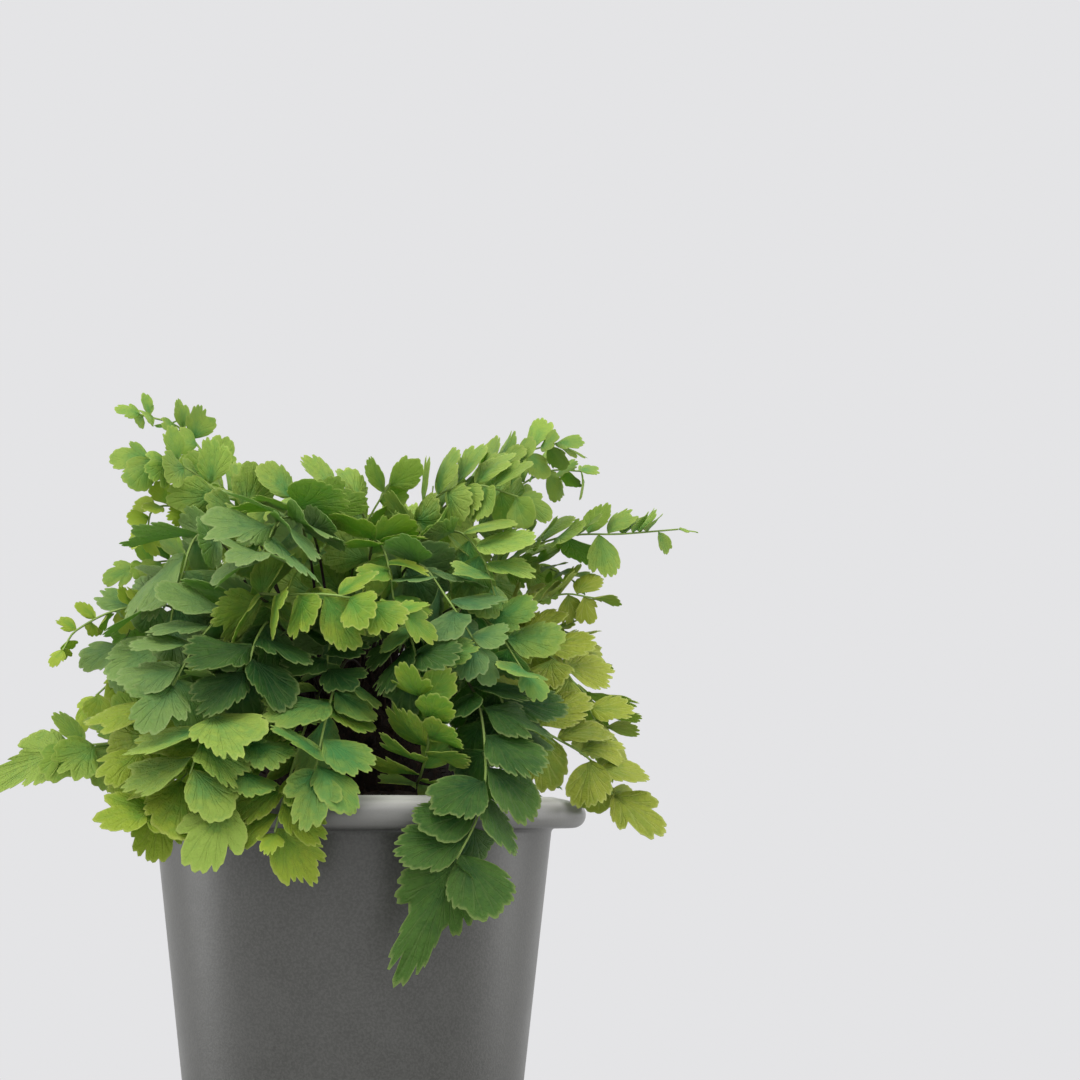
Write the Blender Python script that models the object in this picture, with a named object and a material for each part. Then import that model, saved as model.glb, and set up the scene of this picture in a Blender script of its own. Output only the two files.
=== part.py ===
"""Potted fern: a clump of toothed fern fronds on a dark rootstock, planted in a tapered pot with a rolled rim.

+Z is up and the origin is the middle of the pot's flat base. Sizes are in millimetres and become metres in
finished_object. Places on the plant are measured from the pot's axis and from RIM_LINE upwards.
"""

import math
import random
from collections import namedtuple

import bmesh
import bpy
from mathutils import Matrix, Vector
from mathutils.bvhtree import BVHTree
from mathutils.geometry import interpolate_bezier

MM = 0.001
CLEARANCE = 0.3  # kept between pieces that rest on each other

# ---- Pot ----------------------------------------------------------------------------------------------------
POT_HEIGHT = 106.0
RIM_LINE = 101.4  # middle of the rolled rim's height
RIM_RADIUS = 60.0
ROLL_RADIUS = 3.4  # roll along the rim's outer edge
BODY_TOP_RADIUS = 51.2
BASE_RADIUS = 39.8
BASE_THICKNESS = 5.0
WALL = 4.6
FOOT_CHAMFER = 1.6
TURN_STEPS = 36
DRAIN_HOLES = 3
DRAIN_RADIUS = 5.0
DRAIN_CIRCLE = 18.0

# ---- Soil and rootstock -------------------------------------------------------------------------------------
SOIL_EDGE = RIM_LINE + 1.4  # soil height at the pot's wall
SOIL_RISE = 4.0  # how much higher the soil stands against the rootstock
ROOTSTOCK_RADIUS = 27.0
ROOTSTOCK_SHOULDER = 8.0  # height above the rim line where the rootstock starts to round over
ROOTSTOCK_TOP = 38.0
ROOTSTOCK_BURIED = [(0, -12), (19, -12), (23, -4), (26, 3)]  # radius and height of its buried part

# ---- Fronds -------------------------------------------------------------------------------------------------
STALK_HALF = 0.6  # half the stalk's thickness at its foot
STALK_TIP_HALF = 0.35
STALK_LIFT = 6.0  # a stalk leaves the rootstock square to it for this far
STALK_RINGS = 5
BLADE_THICKNESS = 0.6
LEAF_WIDTH = 0.78  # a leaflet's width as a share of its length
WIDEST_AT = 0.55
END_WIDTH = 0.6  # width of the blunt end as a share of the widest part
END_SAG = 0.08
LEAF_SPACING = 0.26  # from a leaflet to the next one, on the other side, as a share of leaflet length
LEAF_FORWARD = 24.0  # degrees that a leaflet leans towards the frond's tip
LEAF_DROOP = 8.0
LEAF_TWIST = 14.0  # lifts a leaflet's outer edge over the next one's inner edge, as roof tiles lie

# How a leaflet gives way to what is already in its place: extra droop and twist in degrees, and size
GIVE_WAY = [
    (droop, twist, size)
    for size in (1.0, 0.8, 0.62, 0.45)
    for droop, twist in ((0, 0), (-16, 0), (16, 0), (0, 24), (-32, 8), (32, -8), (-50, 0), (50, 0), (68, 0))
]
TURN_ASIDE = [0, 3, -3, 6, -6, 9, -9, 12, -12]  # degrees about the axis that a stalk can turn to pass another

GREENS = {
    "mid": (0.13, 0.27, 0.035),
    "fresh": (0.25, 0.42, 0.05),
    "olive": (0.20, 0.27, 0.045),
    "deep": (0.04, 0.12, 0.025),
    "pale": (0.16, 0.28, 0.10),
}

# Each frond: tint, where its stalk stands on the rootstock, places that its midrib passes through, the way its
# blade faces, its longest leaflet, its end leaflet, and the share of its length that is bare stalk
Frond = namedtuple("Frond", "name tint seat path face leaf tip bare")
FRONDS = [
    Frond("frond_small_fresh", "fresh", (15, -20),
          [(15, -33, 8), (16, -45, 11), (17, -53, 18), (15, -57, 27)], (0, -1, 0.25), 12, 10, 0.40),
    Frond("frond_front_right_hanging", "deep", (12, -15),
          [(21, -32, 36), (28, -47, 29), (30, -58, 12), (28, -62, 0), (23, -64, -10)], (0.1, -1, 0.3), 17, 27, 0.38),
    Frond("frond_front_hanging", "fresh", (-2, -20),
          [(-6, -36, 34), (-11, -53, 22), (-15, -61, 8), (-18, -65, -4)], (-0.1, -1, 0.25), 17, 14, 0.38),
    Frond("frond_front_left_hanging", "fresh", (-12, -17),
          [(-20, -30, 34), (-30, -46, 21), (-39, -56, 9), (-45, -59, 2)], (-0.2, -1, 0.25), 17, 16, 0.36),
    Frond("frond_right_hanging", "olive", (20, -9),
          [(27, -14, 24), (38, -21, 25), (50, -25, 19), (59, -26, 13), (64, -25, 5)], (0.25, -0.9, 0.45), 15, 14, 0.36),
    Frond("frond_right_upper_hanging", "olive", (19, -1),
          [(29, -5, 40), (41, -9, 46), (51, -11, 40), (58, -11, 31), (63, -12, 21)], (0.3, -0.85, 0.45), 14, 12, 0.42),
    Frond("frond_right_long", "mid", (15, 6),
          [(24, 8, 48), (38, 7, 66), (54, 5, 74), (72, 3, 75), (86, 1, 76)], (0.05, -0.35, 0.95), 14, 4.5, 0.42),
    Frond("frond_top_right", "mid", (4, 2),
          [(7, 1, 52), (15, -1, 72), (27, -3, 84), (41, -4, 94), (53, -4, 98)], (-0.05, -0.35, 0.95), 12, 8, 0.40),
    Frond("frond_top_right_back", "mid", (10, 10),
          [(18, 12, 54), (31, 12, 74), (42, 11, 87), (52, 10, 93), (61, 9, 93)], (-0.1, -0.4, 0.9), 12, 7, 0.45),
    Frond("frond_top_left", "mid", (-10, 6),
          [(-18, 8, 54), (-31, 9, 77), (-40, 9, 95), (-48, 9, 104), (-58, 8, 107)], (0.2, -0.65, 0.65), 11, 6, 0.44),
    Frond("frond_top_left_front", "mid", (-9, -2),
          [(-17, -3, 50), (-27, -6, 74), (-38, -9, 85), (-46, -12, 90), (-53, -14, 91)], (0.1, -0.9, 0.5), 13, 9, 0.45),
    Frond("frond_over_left", "pale", (-7, -7),
          [(-10, -12, 53), (-13, -26, 70), (-18, -42, 71), (-22, -53, 61)], (-0.1, -0.75, 0.65), 19, 16, 0.48),
    Frond("frond_left_grey", "pale", (-16, -6),
          [(-25, -13, 52), (-37, -23, 70), (-43, -32, 57), (-46, -38, 36)], (-0.35, -0.9, 0.2), 19, 16, 0.46),
    Frond("frond_left_young", "fresh", (-20, -4),
          [(-30, -9, 40), (-45, -14, 52), (-58, -17, 52), (-70, -19, 46), (-73, -20, 41)], (-0.1, -0.8, 0.6), 6.5, 4.5, 0.62),
    Frond("frond_left_curled", "fresh", (-14, -3),
          [(-22, -5, 48), (-36, -7, 68), (-44, -8, 78), (-52, -8, 79), (-54, -8, 73)], (0.1, -0.9, 0.5), 7, 7, 0.66),
    Frond("frond_left_low", "mid", (-22, -3),
          [(-31, -7, 29), (-43, -12, 24), (-56, -14, 19), (-72, -15, 17)], (-0.2, -0.8, 0.55), 13, 22, 0.38),
    Frond("frond_left_low_back", "fresh", (-20, 6),
          [(-30, 8, 36), (-46, 8, 43), (-59, 5, 39), (-68, 3, 31)], (-0.2, -0.8, 0.55), 11, 9, 0.44),
    Frond("frond_left_shoulder", "mid", (-13, 12),
          [(-22, 14, 48), (-38, 14, 66), (-50, 12, 68), (-59, 10, 66)], (-0.1, -0.75, 0.65), 12, 8, 0.36),
    Frond("frond_centre_bright", "fresh", (-5, -15),
          [(-13, -28, 47), (-23, -42, 52), (-17, -55, 51), (-3, -61, 50), (11, -61, 46)], (0.1, -0.9, 0.45), 15, 9, 0.36),
    Frond("frond_centre_low", "deep", (-9, -14),
          [(-15, -27, 42), (-20, -42, 46), (-23, -54, 41), (-25, -59, 32)], (-0.05, -0.9, 0.45), 16, 15, 0.36),
    Frond("frond_front_left", "mid", (-14, -12),
          [(-19, -26, 40), (-27, -43, 36), (-33, -58, 23), (-37, -66, 9)], (-0.2, -1, 0.2), 17, 16, 0.42),
    Frond("frond_front_middle_left", "mid", (-7, -18),
          [(-11, -30, 38), (-16, -46, 34), (-23, -58, 19), (-29, -65, 3)], (-0.05, -1, 0.2), 16, 16, 0.42),
    Frond("frond_front_middle", "mid", (1, -19),
          [(-1, -31, 38), (-4, -46, 33), (-7, -58, 21), (-9, -64, 10)], (0.05, -1, 0.2), 16, 14, 0.42),
    Frond("frond_front_left_outer", "fresh", (-18, -9),
          [(-26, -20, 38), (-36, -32, 35), (-45, -42, 26), (-50, -47, 15)], (-0.3, -1, 0.2), 17, 15, 0.42),
    Frond("frond_front_left_upper", "pale", (-17, -13),
          [(-23, -25, 46), (-28, -38, 50), (-36, -49, 42), (-42, -55, 30)], (-0.2, -1, 0.3), 16, 15, 0.42),
    Frond("frond_centre_right", "deep", (7, -17),
          [(8, -27, 42), (10, -40, 46), (13, -51, 41), (15, -57, 31)], (0.1, -1, 0.3), 14, 13, 0.34),
    Frond("frond_over_right", "pale", (8, -8),
          [(10, -20, 56), (15, -36, 61), (22, -46, 51), (29, -51, 39)], (0.2, -0.85, 0.5), 14, 10, 0.40),
    Frond("frond_over_middle", "fresh", (2, -9),
          [(3, -14, 54), (4, -27, 67), (7, -40, 63), (9, -46, 51)], (0.1, -0.75, 0.65), 12, 10, 0.38),
    Frond("frond_crown_left_wide", "mid", (-2, 0),
          [(0, 3, 52), (4, 1, 70), (-1, -3, 82), (-13, -6, 83), (-26, -9, 78)], (0, -0.75, 0.65), 14, 10, 0.36),
    Frond("frond_crown_right_wide", "mid", (7, 2),
          [(10, 2, 54), (13, -1, 70), (21, -6, 81), (33, -11, 84), (45, -15, 80)], (0.05, -0.75, 0.65), 13, 9, 0.38),
    Frond("frond_crown_left", "mid", (-4, -3),
          [(-7, -5, 54), (-10, -15, 71), (-14, -28, 76), (-18, -39, 68), (-20, -45, 56)], (0, -0.75, 0.65), 15, 14, 0.34),
    Frond("frond_crown_middle", "mid", (-2, 8),
          [(-2, 8, 50), (-1, 8, 65), (3, 6, 78), (9, 2, 88)], (0.1, -0.75, 0.65), 14, 10, 0.34),
    Frond("frond_crown_right", "mid", (7, -3),
          [(12, -4, 54), (18, -12, 68), (25, -24, 71), (31, -34, 63), (34, -39, 52)], (0.2, -0.75, 0.65), 15, 13, 0.36),
    Frond("frond_middle", "mid", (4, -13),
          [(5, -23, 46), (8, -37, 52), (12, -48, 47), (15, -54, 37)], (0.1, -0.9, 0.45), 14, 12, 0.34),
    Frond("frond_middle_right", "mid", (11, -10),
          [(16, -20, 44), (25, -33, 51), (33, -42, 45), (40, -46, 34)], (0.2, -0.9, 0.45), 14, 12, 0.36),
    Frond("frond_right_middle", "olive", (18, 8),
          [(28, 4, 44), (41, 1, 53), (54, -1, 58), (63, -2, 57)], (0.05, -0.3, 0.95), 12, 8, 0.42),
    Frond("frond_right_dark", "olive", (17, 13),
          [(27, 14, 40), (41, 12, 50), (54, 10, 50), (62, 8, 46)], (0.05, -0.3, 0.95), 13, 8, 0.34),
    Frond("frond_right_shoulder", "mid", (12, 15),
          [(20, 18, 50), (34, 18, 64), (48, 16, 68), (58, 14, 65)], (0.05, -0.35, 0.95), 15, 8, 0.34),
    Frond("frond_left_middle", "pale", (-18, 3),
          [(-28, 0, 46), (-42, -6, 59), (-53, -10, 54), (-60, -13, 42)], (-0.4, -0.85, 0.4), 16, 11, 0.38),
    Frond("frond_inner_right", "deep", (15, -12),
          [(20, -20, 34), (27, -31, 38), (33, -40, 31), (38, -45, 21)], (0.3, -0.8, 0.5), 16, 13, 0.34),
    Frond("frond_inner_left", "deep", (-11, -8),
          [(-16, -18, 40), (-23, -30, 42), (-31, -38, 36), (-39, -43, 27)], (-0.2, -0.8, 0.5), 15, 13, 0.32),
    Frond("frond_inner_middle", "deep", (0, -13),
          [(-2, -22, 42), (-4, -34, 46), (-6, -45, 41), (-7, -51, 33)], (0, -0.8, 0.6), 16, 13, 0.32),
    Frond("frond_back_right", "mid", (9, 19),
          [(14, 28, 44), (25, 42, 58), (35, 58, 51), (41, 68, 38)], (0.2, 0.6, 0.75), 18, 12, 0.20),
    Frond("frond_back_middle", "mid", (0, 15),
          [(2, 24, 54), (4, 40, 78), (6, 57, 78), (8, 71, 64)], (0, -0.2, 0.95), 18, 12, 0.22),
    Frond("frond_back_left", "mid", (-9, 19),
          [(-13, 28, 44), (-24, 41, 58), (-34, 57, 50), (-40, 67, 37)], (-0.2, 0.6, 0.75), 18, 12, 0.20),
    Frond("frond_back_right_hanging", "deep", (17, 18),
          [(25, 28, 32), (41, 41, 34), (49, 52, 20), (51, 58, 8)], (0.6, 0.6, 0.5), 16, 12, 0.32),
    Frond("frond_back_left_hanging", "mid", (-17, 17),
          [(-25, 26, 32), (-40, 39, 34), (-49, 50, 20), (-51, 56, 8)], (-0.6, 0.6, 0.5), 16, 12, 0.32),
    Frond("frond_back_hanging", "fresh", (1, 23),
          [(3, 33, 30), (5, 50, 34), (3, 66, 20), (0, 71, 4)], (0, 0.85, 0.5), 18, 13, 0.32),
    Frond("frond_back_right_low", "olive", (21, 12),
          [(31, 17, 34), (48, 26, 43), (64, 34, 35), (72, 38, 22)], (0.5, 0.3, 0.8), 16, 11, 0.32),
    Frond("frond_back_left_low", "deep", (-22, 10),
          [(-31, 15, 34), (-46, 23, 45), (-58, 31, 37), (-65, 35, 24)], (-0.5, 0.3, 0.8), 16, 11, 0.32),
    Frond("frond_back_right_top", "mid", (6, 10),
          [(10, 17, 54), (16, 28, 75), (23, 41, 82), (31, 54, 76)], (0.1, -0.25, 0.95), 14, 9, 0.30),
    Frond("frond_back_left_top", "mid", (-5, 10),
          [(-9, 17, 54), (-15, 27, 72), (-24, 39, 77), (-34, 51, 71)], (-0.1, -0.25, 0.95), 14, 9, 0.30),
    Frond("frond_back_inner_left", "deep", (-13, 12),
          [(-17, 19, 38), (-24, 29, 46), (-29, 38, 40), (-33, 45, 28)], (-0.2, 0.85, 0.5), 15, 12, 0.16),
    Frond("frond_back_inner_right", "deep", (12, 12),
          [(17, 19, 38), (24, 29, 47), (29, 38, 41), (31, 46, 29)], (0.2, 0.85, 0.5), 15, 12, 0.16),
    Frond("frond_back_inner_middle", "deep", (3, 14),
          [(4, 22, 38), (6, 32, 48), (8, 42, 43), (10, 50, 31)], (0, 0.85, 0.5), 15, 12, 0.16),
    Frond("frond_back_foot_left", "deep", (-9, 22),
          [(-13, 31, 24), (-20, 43, 30), (-26, 54, 21), (-30, 60, 10)], (-0.3, 0.8, 0.5), 16, 11, 0.30),
    Frond("frond_back_foot_right", "deep", (9, 22),
          [(13, 31, 24), (20, 43, 30), (26, 54, 21), (30, 60, 10)], (0.3, 0.8, 0.5), 16, 11, 0.30),
]


# ---- Making objects -----------------------------------------------------------------------------------------
def principled(name, colour, roughness):
    material = bpy.data.materials.new(name)
    material.use_nodes = True
    shader = material.node_tree.nodes["Principled BSDF"]
    shader.inputs["Base Color"].default_value = (*colour, 1.0)
    shader.inputs["Roughness"].default_value = roughness
    shader.inputs["Metallic"].default_value = 0.0
    return material


def finished_object(name, bm, material, sharp_degrees=35.0):
    """Turns a bmesh in millimetres into a named object in metres, shaded smooth between its sharp edges."""
    bmesh.ops.transform(bm, matrix=Matrix.Scale(MM, 4), verts=bm.verts)
    bmesh.ops.recalc_face_normals(bm, faces=bm.faces)
    mesh = bpy.data.meshes.new(name)
    bm.to_mesh(mesh)
    bm.free()
    mesh.shade_smooth()
    mesh.set_sharp_from_angle(angle=math.radians(sharp_degrees))
    mesh.materials.append(material)
    piece = bpy.data.objects.new(name, mesh)
    bpy.context.scene.collection.objects.link(piece)
    return piece


def turned(outline):
    """A solid turned round the axis from (radius, height) points that start and end on the axis."""
    bm = bmesh.new()
    points = [bm.verts.new((radius, 0.0, height)) for radius, height in outline]
    edges = [bm.edges.new(pair) for pair in zip(points, points[1:])]
    bmesh.ops.spin(
        bm, geom=points + edges, cent=(0, 0, 0), axis=(0, 0, 1), angle=math.tau, steps=TURN_STEPS, use_merge=True
    )
    bmesh.ops.remove_doubles(bm, verts=bm.verts, dist=0.001)
    bmesh.ops.recalc_face_normals(bm, faces=bm.faces)
    return bm


def arc(middle, radius, start, end, steps):
    """(radius, height) points along an arc, with its angles in degrees from the outward direction."""
    angles = [math.radians(start + (end - start) * step / steps) for step in range(steps + 1)]
    return [(middle[0] + radius * math.cos(a), middle[1] + radius * math.sin(a)) for a in angles]


# ---- Pot, soil and rootstock --------------------------------------------------------------------------------
ROLL_MIDDLE = (RIM_RADIUS - ROLL_RADIUS, RIM_LINE)
RIM_UNDERSIDE = RIM_LINE - ROLL_RADIUS


def wall_radius(height):
    """Outer radius of the pot's straight tapered body at a height."""
    return BASE_RADIUS + (BODY_TOP_RADIUS - BASE_RADIUS) * height / RIM_UNDERSIDE


def pot_outline():
    inner_foot = wall_radius(BASE_THICKNESS) - WALL
    inner_top = wall_radius(RIM_UNDERSIDE) - WALL
    outline = [(0, 0), (BASE_RADIUS - FOOT_CHAMFER, 0), (wall_radius(FOOT_CHAMFER), FOOT_CHAMFER)]
    outline += [(wall_radius(RIM_UNDERSIDE) - 0.1, RIM_UNDERSIDE - 1.2), (BODY_TOP_RADIUS + 1.2, RIM_UNDERSIDE)]
    outline += arc(ROLL_MIDDLE, ROLL_RADIUS, -90, 90, 6)
    outline += [(inner_top + 2.2, POT_HEIGHT), (inner_top + 0.6, POT_HEIGHT - 0.5), (inner_top + 0.1, POT_HEIGHT - 1.8)]
    outline += [(inner_foot + 1.5, BASE_THICKNESS + 1.2), (inner_foot, BASE_THICKNESS), (0, BASE_THICKNESS)]
    return outline


def inner_radius(height):
    """Inner radius of the pot's wall, which runs straight from above the base to the rim."""
    foot = BASE_THICKNESS + 1.2
    foot_radius = wall_radius(BASE_THICKNESS) - WALL + 1.5
    top_radius = wall_radius(RIM_UNDERSIDE) - WALL + 0.1
    return foot_radius + (top_radius - foot_radius) * (height - foot) / (POT_HEIGHT - 1.8 - foot)


def rootstock_outline():
    outline = [(radius, RIM_LINE + height) for radius, height in ROOTSTOCK_BURIED]
    rise = ROOTSTOCK_TOP - ROOTSTOCK_SHOULDER
    for degrees in range(0, 91, 15):
        angle = math.radians(degrees)
        height = ROOTSTOCK_SHOULDER + rise * math.sin(angle)
        outline.append((ROOTSTOCK_RADIUS * math.cos(angle), RIM_LINE + height))
    outline[-1] = (0, outline[-1][1])
    return outline


def soil_outline():
    bottom = BASE_THICKNESS + CLEARANCE
    pit = [(radius + CLEARANCE, RIM_LINE + height) for radius, height in reversed(ROOTSTOCK_BURIED)]
    pit[-2] = (pit[-2][0], pit[-2][1] - CLEARANCE)
    pit[-1] = (0, pit[-1][1] - CLEARANCE)
    outline = [(0, bottom), (inner_radius(bottom) - 2.0, bottom)]
    outline += [(inner_radius(bottom + 3.0) - CLEARANCE, bottom + 3.0)]
    outline += [(inner_radius(SOIL_EDGE) - CLEARANCE, SOIL_EDGE)]
    outline += [(37.0, SOIL_EDGE + 0.6 * SOIL_RISE), (ROOTSTOCK_RADIUS + 0.6, SOIL_EDGE + SOIL_RISE)]
    return outline + pit


def cut_drain_holes(pot):
    for hole in range(DRAIN_HOLES):
        bm = bmesh.new()
        bmesh.ops.create_cone(
            bm, cap_ends=True, segments=16, radius1=DRAIN_RADIUS, radius2=DRAIN_RADIUS, depth=4 * BASE_THICKNESS
        )
        angle = math.tau * (hole + 0.25) / DRAIN_HOLES
        place = Vector((DRAIN_CIRCLE * math.cos(angle), DRAIN_CIRCLE * math.sin(angle), 0))
        bmesh.ops.translate(bm, vec=place, verts=bm.verts)
        cutter = finished_object(f"drain_cutter_{hole + 1}", bm, pot.data.materials[0])
        cutter.hide_render = True
        cutter.display_type = "WIRE"
        drill = pot.modifiers.new(f"drain_{hole + 1}", "BOOLEAN")
        drill.operation = "DIFFERENCE"
        drill.object = cutter


def lobed(bm):
    """Swells and pinches the rootstock above the soil, where separate crowns have grown together."""
    for vertex in bm.verts:
        above = vertex.co.z - RIM_LINE - ROOTSTOCK_SHOULDER
        if above <= 0.0:
            continue
        angle = math.atan2(vertex.co.y, vertex.co.x)
        swell = 0.06 * math.sin(3 * angle + 0.7) + 0.04 * math.sin(7 * angle)
        vertex.co.xy *= 1.0 + swell * above / ROOTSTOCK_TOP


# ---- Fronds -------------------------------------------------------------------------------------------------
def smooth_line(places):
    """Points about 1 mm apart on a smooth curve through the places."""
    ends = len(places) - 1
    ways = [(places[min(i + 1, ends)] - places[max(i - 1, 0)]).normalized() for i in range(len(places))]
    line = [places[0]]
    for i in range(ends):
        start, end = places[i], places[i + 1]
        reach = 0.36 * (end - start).length
        steps = max(3, round((end - start).length))
        line += interpolate_bezier(start, start + ways[i] * reach, end - ways[i + 1] * reach, end, steps + 1)[1:]
    return line


class Midrib:
    """The line of a frond's stalk and midrib, with its direction and the way that its blade faces all along."""

    def __init__(self, places, face):
        self.line = smooth_line(places)
        last = len(self.line) - 1
        self.reached = [0.0]
        for before, after in zip(self.line, self.line[1:]):
            self.reached.append(self.reached[-1] + (after - before).length)
        self.length = self.reached[-1]
        self.ways = [
            (self.line[min(i + 1, last)] - self.line[max(i - 1, 0)]).normalized() for i in range(last + 1)
        ]
        self.ups = [None] * (last + 1)
        middle = int(0.65 * last)
        self.ups[middle] = self.square_to(middle, face)
        for i in range(middle + 1, last + 1):
            self.ups[i] = self.square_to(i, self.ups[i - 1])
        for i in range(middle - 1, -1, -1):
            self.ups[i] = self.square_to(i, self.ups[i + 1])

    def square_to(self, i, direction):
        way = self.ways[i]
        return (direction - way * direction.dot(way)).normalized()

    def at(self, distance):
        """The point at a distance along the line, the line's direction there and the way the blade faces."""
        i = 0
        while i < len(self.line) - 2 and self.reached[i + 1] < distance:
            i += 1
        share = (distance - self.reached[i]) / (self.reached[i + 1] - self.reached[i])
        point = self.line[i].lerp(self.line[i + 1], share)
        way = self.ways[i].lerp(self.ways[i + 1], share).normalized()
        up = self.ups[i].lerp(self.ups[i + 1], share)
        return point, way, (up - way * up.dot(way)).normalized()


def leaf_size(frond, share):
    """Leaflet length, as a share of the frond's longest, at a share of the way along the leafy part."""
    last = min(0.78, 0.85 * frond.tip / frond.leaf)
    return min(1.0, 0.75 + share) * (1.0 - (1.0 - last) * share**1.8)


def leaf_joints(frond, length):
    """Distances along the stalk where one leaflet's foot ends and the next one's begins."""
    first = frond.bare * length
    joints = [first]
    while joints[-1] < length:
        share = (joints[-1] - first) / (length - first)
        joints.append(joints[-1] + LEAF_SPACING * frond.leaf * leaf_size(frond, share))
    stretch = (length - first) / (joints[-1] - first)
    return [first + (joint - first) * stretch for joint in joints]


Leaf = namedtuple("Leaf", "root out across up length")


def turned_leaf(root, out, across, up, length, droop, twist):
    """A leaflet twisted about its own length and then drooped, in degrees."""
    twist, droop = math.radians(twist), math.radians(droop)
    across, up = across * math.cos(twist) + up * math.sin(twist), up * math.cos(twist) - across * math.sin(twist)
    out, up = out * math.cos(droop) - up * math.sin(droop), up * math.cos(droop) + out * math.sin(droop)
    return Leaf(root, out, across, up, length)


def leaf_loops(leaf, extra=0.0):
    """Loops of four corners across the leaflet: near its foot, at its widest and at its end. Extra thickens it."""
    loops = []
    for reach, width, sag in ((0.14, 0.62, 0.0), (WIDEST_AT, 1.0, 0.0), (1.0, END_WIDTH, END_SAG)):
        middle = leaf.root + leaf.out * (leaf.length * reach) - leaf.up * (leaf.length * sag)
        half = leaf.across * (0.5 * LEAF_WIDTH * leaf.length * width + extra)
        thick = leaf.up * (0.5 * BLADE_THICKNESS + extra)
        loops.append([middle - half + thick, middle + half + thick, middle + half - thick, middle - half - thick])
    return loops


def tube_tree(loops):
    """A search tree of the closed tube through loops of four corners, to test what it would run into."""
    corners = [corner for loop in loops for corner in loop]
    sides = [
        (4 * row + i, 4 * row + (i + 1) % 4, 4 * row + 4 + (i + 1) % 4, 4 * row + 4 + i)
        for row in range(len(loops) - 1)
        for i in range(4)
    ]
    last = 4 * (len(loops) - 1)
    return BVHTree.FromPolygons(corners, sides + [(3, 2, 1, 0), (last, last + 1, last + 2, last + 3)])


def stalk_loop(midrib, distance, extra=0.0):
    point, way, up = midrib.at(distance)
    half = STALK_HALF + (STALK_TIP_HALF - STALK_HALF) * distance / midrib.length + extra
    side = way.cross(up) * half
    up = up * half
    return [point + side + up, point - side + up, point - side - up, point + side - up]


def stalk_tree(midrib, extra=0.0):
    steps = max(8, round(midrib.length / 3.0))
    first = 2.0 * extra / midrib.length
    shares = [first + (1.0 - first) * i / steps for i in range(steps + 1)]
    return tube_tree([stalk_loop(midrib, share * midrib.length, extra) for share in shares])


def seated_midrib(frond, turn, rootstock):
    """The frond's midrib, turned about the pot's axis, with its stalk standing square on the rootstock."""
    spin = Matrix.Rotation(math.radians(turn), 3, "Z")
    above = spin @ Vector((*frond.seat, RIM_LINE + 2 * ROOTSTOCK_TOP))
    seat, square, _, _ = rootstock.ray_cast(above, Vector((0, 0, -1)))
    foot = seat + square * (CLEARANCE + 0.02)
    path = [spin @ Vector((x, y, RIM_LINE + z)) for x, y, z in frond.path]
    return Midrib([foot, foot + square * STALK_LIFT, *path], Vector(frond.face))


def clear_midribs(rootstock, solids):
    """Every frond's midrib, each turned aside as far as it must be to pass the ones before it."""
    midribs, placed = {}, list(solids)
    for frond in FRONDS:
        for turn in TURN_ASIDE:
            midrib = seated_midrib(frond, turn, rootstock)
            thick = stalk_tree(midrib, 2 * CLEARANCE)
            if not any(thick.overlap(other) for other in placed):
                break
        midribs[frond.name] = midrib
        placed.append(stalk_tree(midrib))
    return midribs, placed


def grow_leaves(frond, midrib, joints, obstacles):
    """The frond's leaflets, from alternate sides, and last its end leaflet; None where there is no room for one."""
    dice = random.Random(frond.name)
    leaves, trees = [], []
    for i, (start, end) in enumerate(zip(joints, joints[1:])):
        share = (0.5 * (start + end) - joints[0]) / (joints[-1] - joints[0])
        point, way, up = midrib.at(0.5 * (start + end))
        side = way.cross(up) * (1 if i % 2 == 0 else -1)
        length = frond.leaf * leaf_size(frond, share) * dice.uniform(0.86, 1.12)
        forward = math.radians(LEAF_FORWARD + 16.0 * share + dice.uniform(-14, 14))
        out = side * math.cos(forward) + way * math.sin(forward)
        across = way * math.cos(forward) - side * math.sin(forward)
        droop, twist = LEAF_DROOP + dice.uniform(-20, 20), LEAF_TWIST + dice.uniform(-16, 16)
        leaves.append(fitted_leaf((point, out, across, up, length), droop, twist, obstacles + trees))
        if leaves[-1]:
            trees.append(tube_tree(leaf_loops(leaves[-1])))
    point, way, up = midrib.at(midrib.length)
    leaves.append(fitted_leaf((point, way, way.cross(up), up, frond.tip), LEAF_DROOP, 0.0, obstacles + trees))
    if leaves[-1]:
        trees.append(tube_tree(leaf_loops(leaves[-1])))
    return leaves, trees


def fitted_leaf(lie, droop, twist, obstacles):
    """The leaflet in the first of its ways to lie that keeps clear of everything already there."""
    *frame, length = lie
    for more_droop, more_twist, size in GIVE_WAY:
        leaf = turned_leaf(*frame, length * size, droop + more_droop, twist + more_twist)
        thick = tube_tree(leaf_loops(leaf, extra=CLEARANCE + 0.05))
        if not any(thick.overlap(other) for other in obstacles):
            return leaf
    return None


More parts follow.
